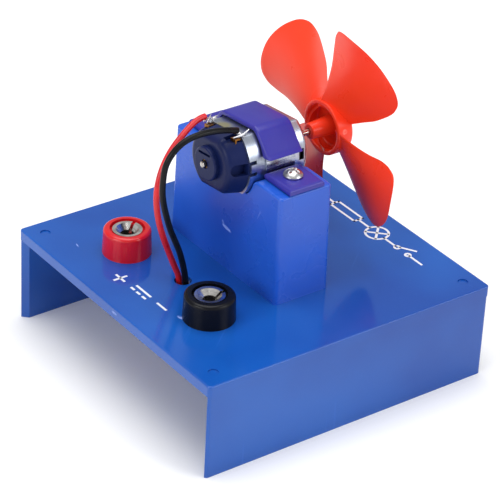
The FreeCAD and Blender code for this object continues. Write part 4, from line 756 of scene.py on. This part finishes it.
def lead(name, route, slot):
    curve = bpy.data.curves.new(name, "CURVE")
    curve.dimensions = "3D"
    spline = curve.splines.new("NURBS")
    spline.points.add(len(route) - 1)
    for point, spot in zip(spline.points, route):
        point.co = (*(value * MM for value in spot), 1.0)
    spline.order_u = 3
    spline.use_endpoint_u = True
    spline.resolution_u = 12
    curve.bevel_depth = LEAD_DIAMETER / 2
    curve.bevel_resolution = 8
    curve.use_fill_caps = True
    piece = bpy.data.objects.new(name, curve)
    bpy.context.scene.collection.objects.link(piece)
    dress(piece, slot)
    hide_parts(name.replace("_wire", "_lead"))
    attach(piece, "stand")
    return piece


lead("black_wire", BLACK_ROUTE, "black_insulation")
lead("red_wire", RED_ROUTE, "red_insulation")


# Camera, floor and light

CAMERA_AZIMUTH = math.radians(52.71)
CAMERA_ELEVATION = math.radians(31.30)
CAMERA_ROLL = math.radians(3.02)
CAMERA_DISTANCE = 792.5 * MM
CAMERA_ASIDE = Vector((0.7, 28.5)) * MM
FOCAL_PIXELS = 2606.6
IMAGE_PIXELS = 500
SENSOR_WIDTH = 36.0


def camera():
    flat = math.cos(CAMERA_ELEVATION)
    back = Vector((math.sin(CAMERA_AZIMUTH) * flat, -math.cos(CAMERA_AZIMUTH) * flat, math.sin(CAMERA_ELEVATION)))
    level = Vector((math.cos(CAMERA_AZIMUTH), math.sin(CAMERA_AZIMUTH), 0.0))
    upright = back.cross(level)
    right = level * math.cos(CAMERA_ROLL) + upright * math.sin(CAMERA_ROLL)
    up = upright * math.cos(CAMERA_ROLL) - level * math.sin(CAMERA_ROLL)
    lens = bpy.data.cameras.new("camera")
    lens.sensor_width = SENSOR_WIDTH
    lens.lens = FOCAL_PIXELS / IMAGE_PIXELS * SENSOR_WIDTH
    lens.clip_start = CAMERA_DISTANCE / 10
    lens.clip_end = CAMERA_DISTANCE * 20
    item = bpy.data.objects.new("camera", lens)
    where = right * CAMERA_ASIDE.x + up * CAMERA_ASIDE.y + back * CAMERA_DISTANCE
    item.matrix_world = Matrix.Translation(where) @ Matrix((right, up, back)).transposed().to_4x4()
    bpy.context.scene.collection.objects.link(item)
    bpy.context.scene.camera = item


def floor():
    mesh = bpy.data.meshes.new("floor")
    sheet = bmesh.new()
    bmesh.ops.create_grid(sheet, x_segments=1, y_segments=1, size=3.0)
    sheet.to_mesh(mesh)
    sheet.free()
    item = bpy.data.objects.new("floor", mesh)
    bpy.context.scene.collection.objects.link(item)
    finish = Finish("floor_paper")
    tone = finish.tint(finish.noise(0.4), (0.95, 0.95, 0.955, 1.0), (0.98, 0.98, 0.98, 1.0))
    item.data.materials.append(finish.feed(Base_Color=tone, Roughness=0.9))


def softbox(name, place, aim, width, height, power, colour=(1.0, 1.0, 1.0)):
    lamp = bpy.data.lights.new(name, "AREA")
    lamp.shape = "RECTANGLE"
    lamp.size = width
    lamp.size_y = height
    lamp.energy = power
    lamp.color = colour
    item = bpy.data.objects.new(name, lamp)
    item.location = place
    item.rotation_euler = (Vector(aim) - Vector(place)).to_track_quat("-Z", "Y").to_euler()
    bpy.context.scene.collection.objects.link(item)


def daylight(strength):
    world = bpy.data.worlds.new("studio")
    world.use_nodes = True
    world.node_tree.nodes["Background"].inputs["Color"].default_value = (1.0, 1.0, 1.0, 1.0)
    world.node_tree.nodes["Background"].inputs["Strength"].default_value = strength
    bpy.context.scene.world = world


camera()
floor()
daylight(0.47)
softbox("overhead", (-0.1, -0.05, 1.1), (0.0, 0.0, 0.03), 1.0, 1.0, 10.0)
softbox("side", (0.8, 0.45, 0.5), (0.0, 0.0, 0.06), 0.5, 0.35, 3.0)
softbox("front", (0.1, -0.8, 0.35), (0.0, 0.0, 0.05), 0.5, 0.3, 2.2)

bpy.context.scene.view_settings.view_transform = "Standard"
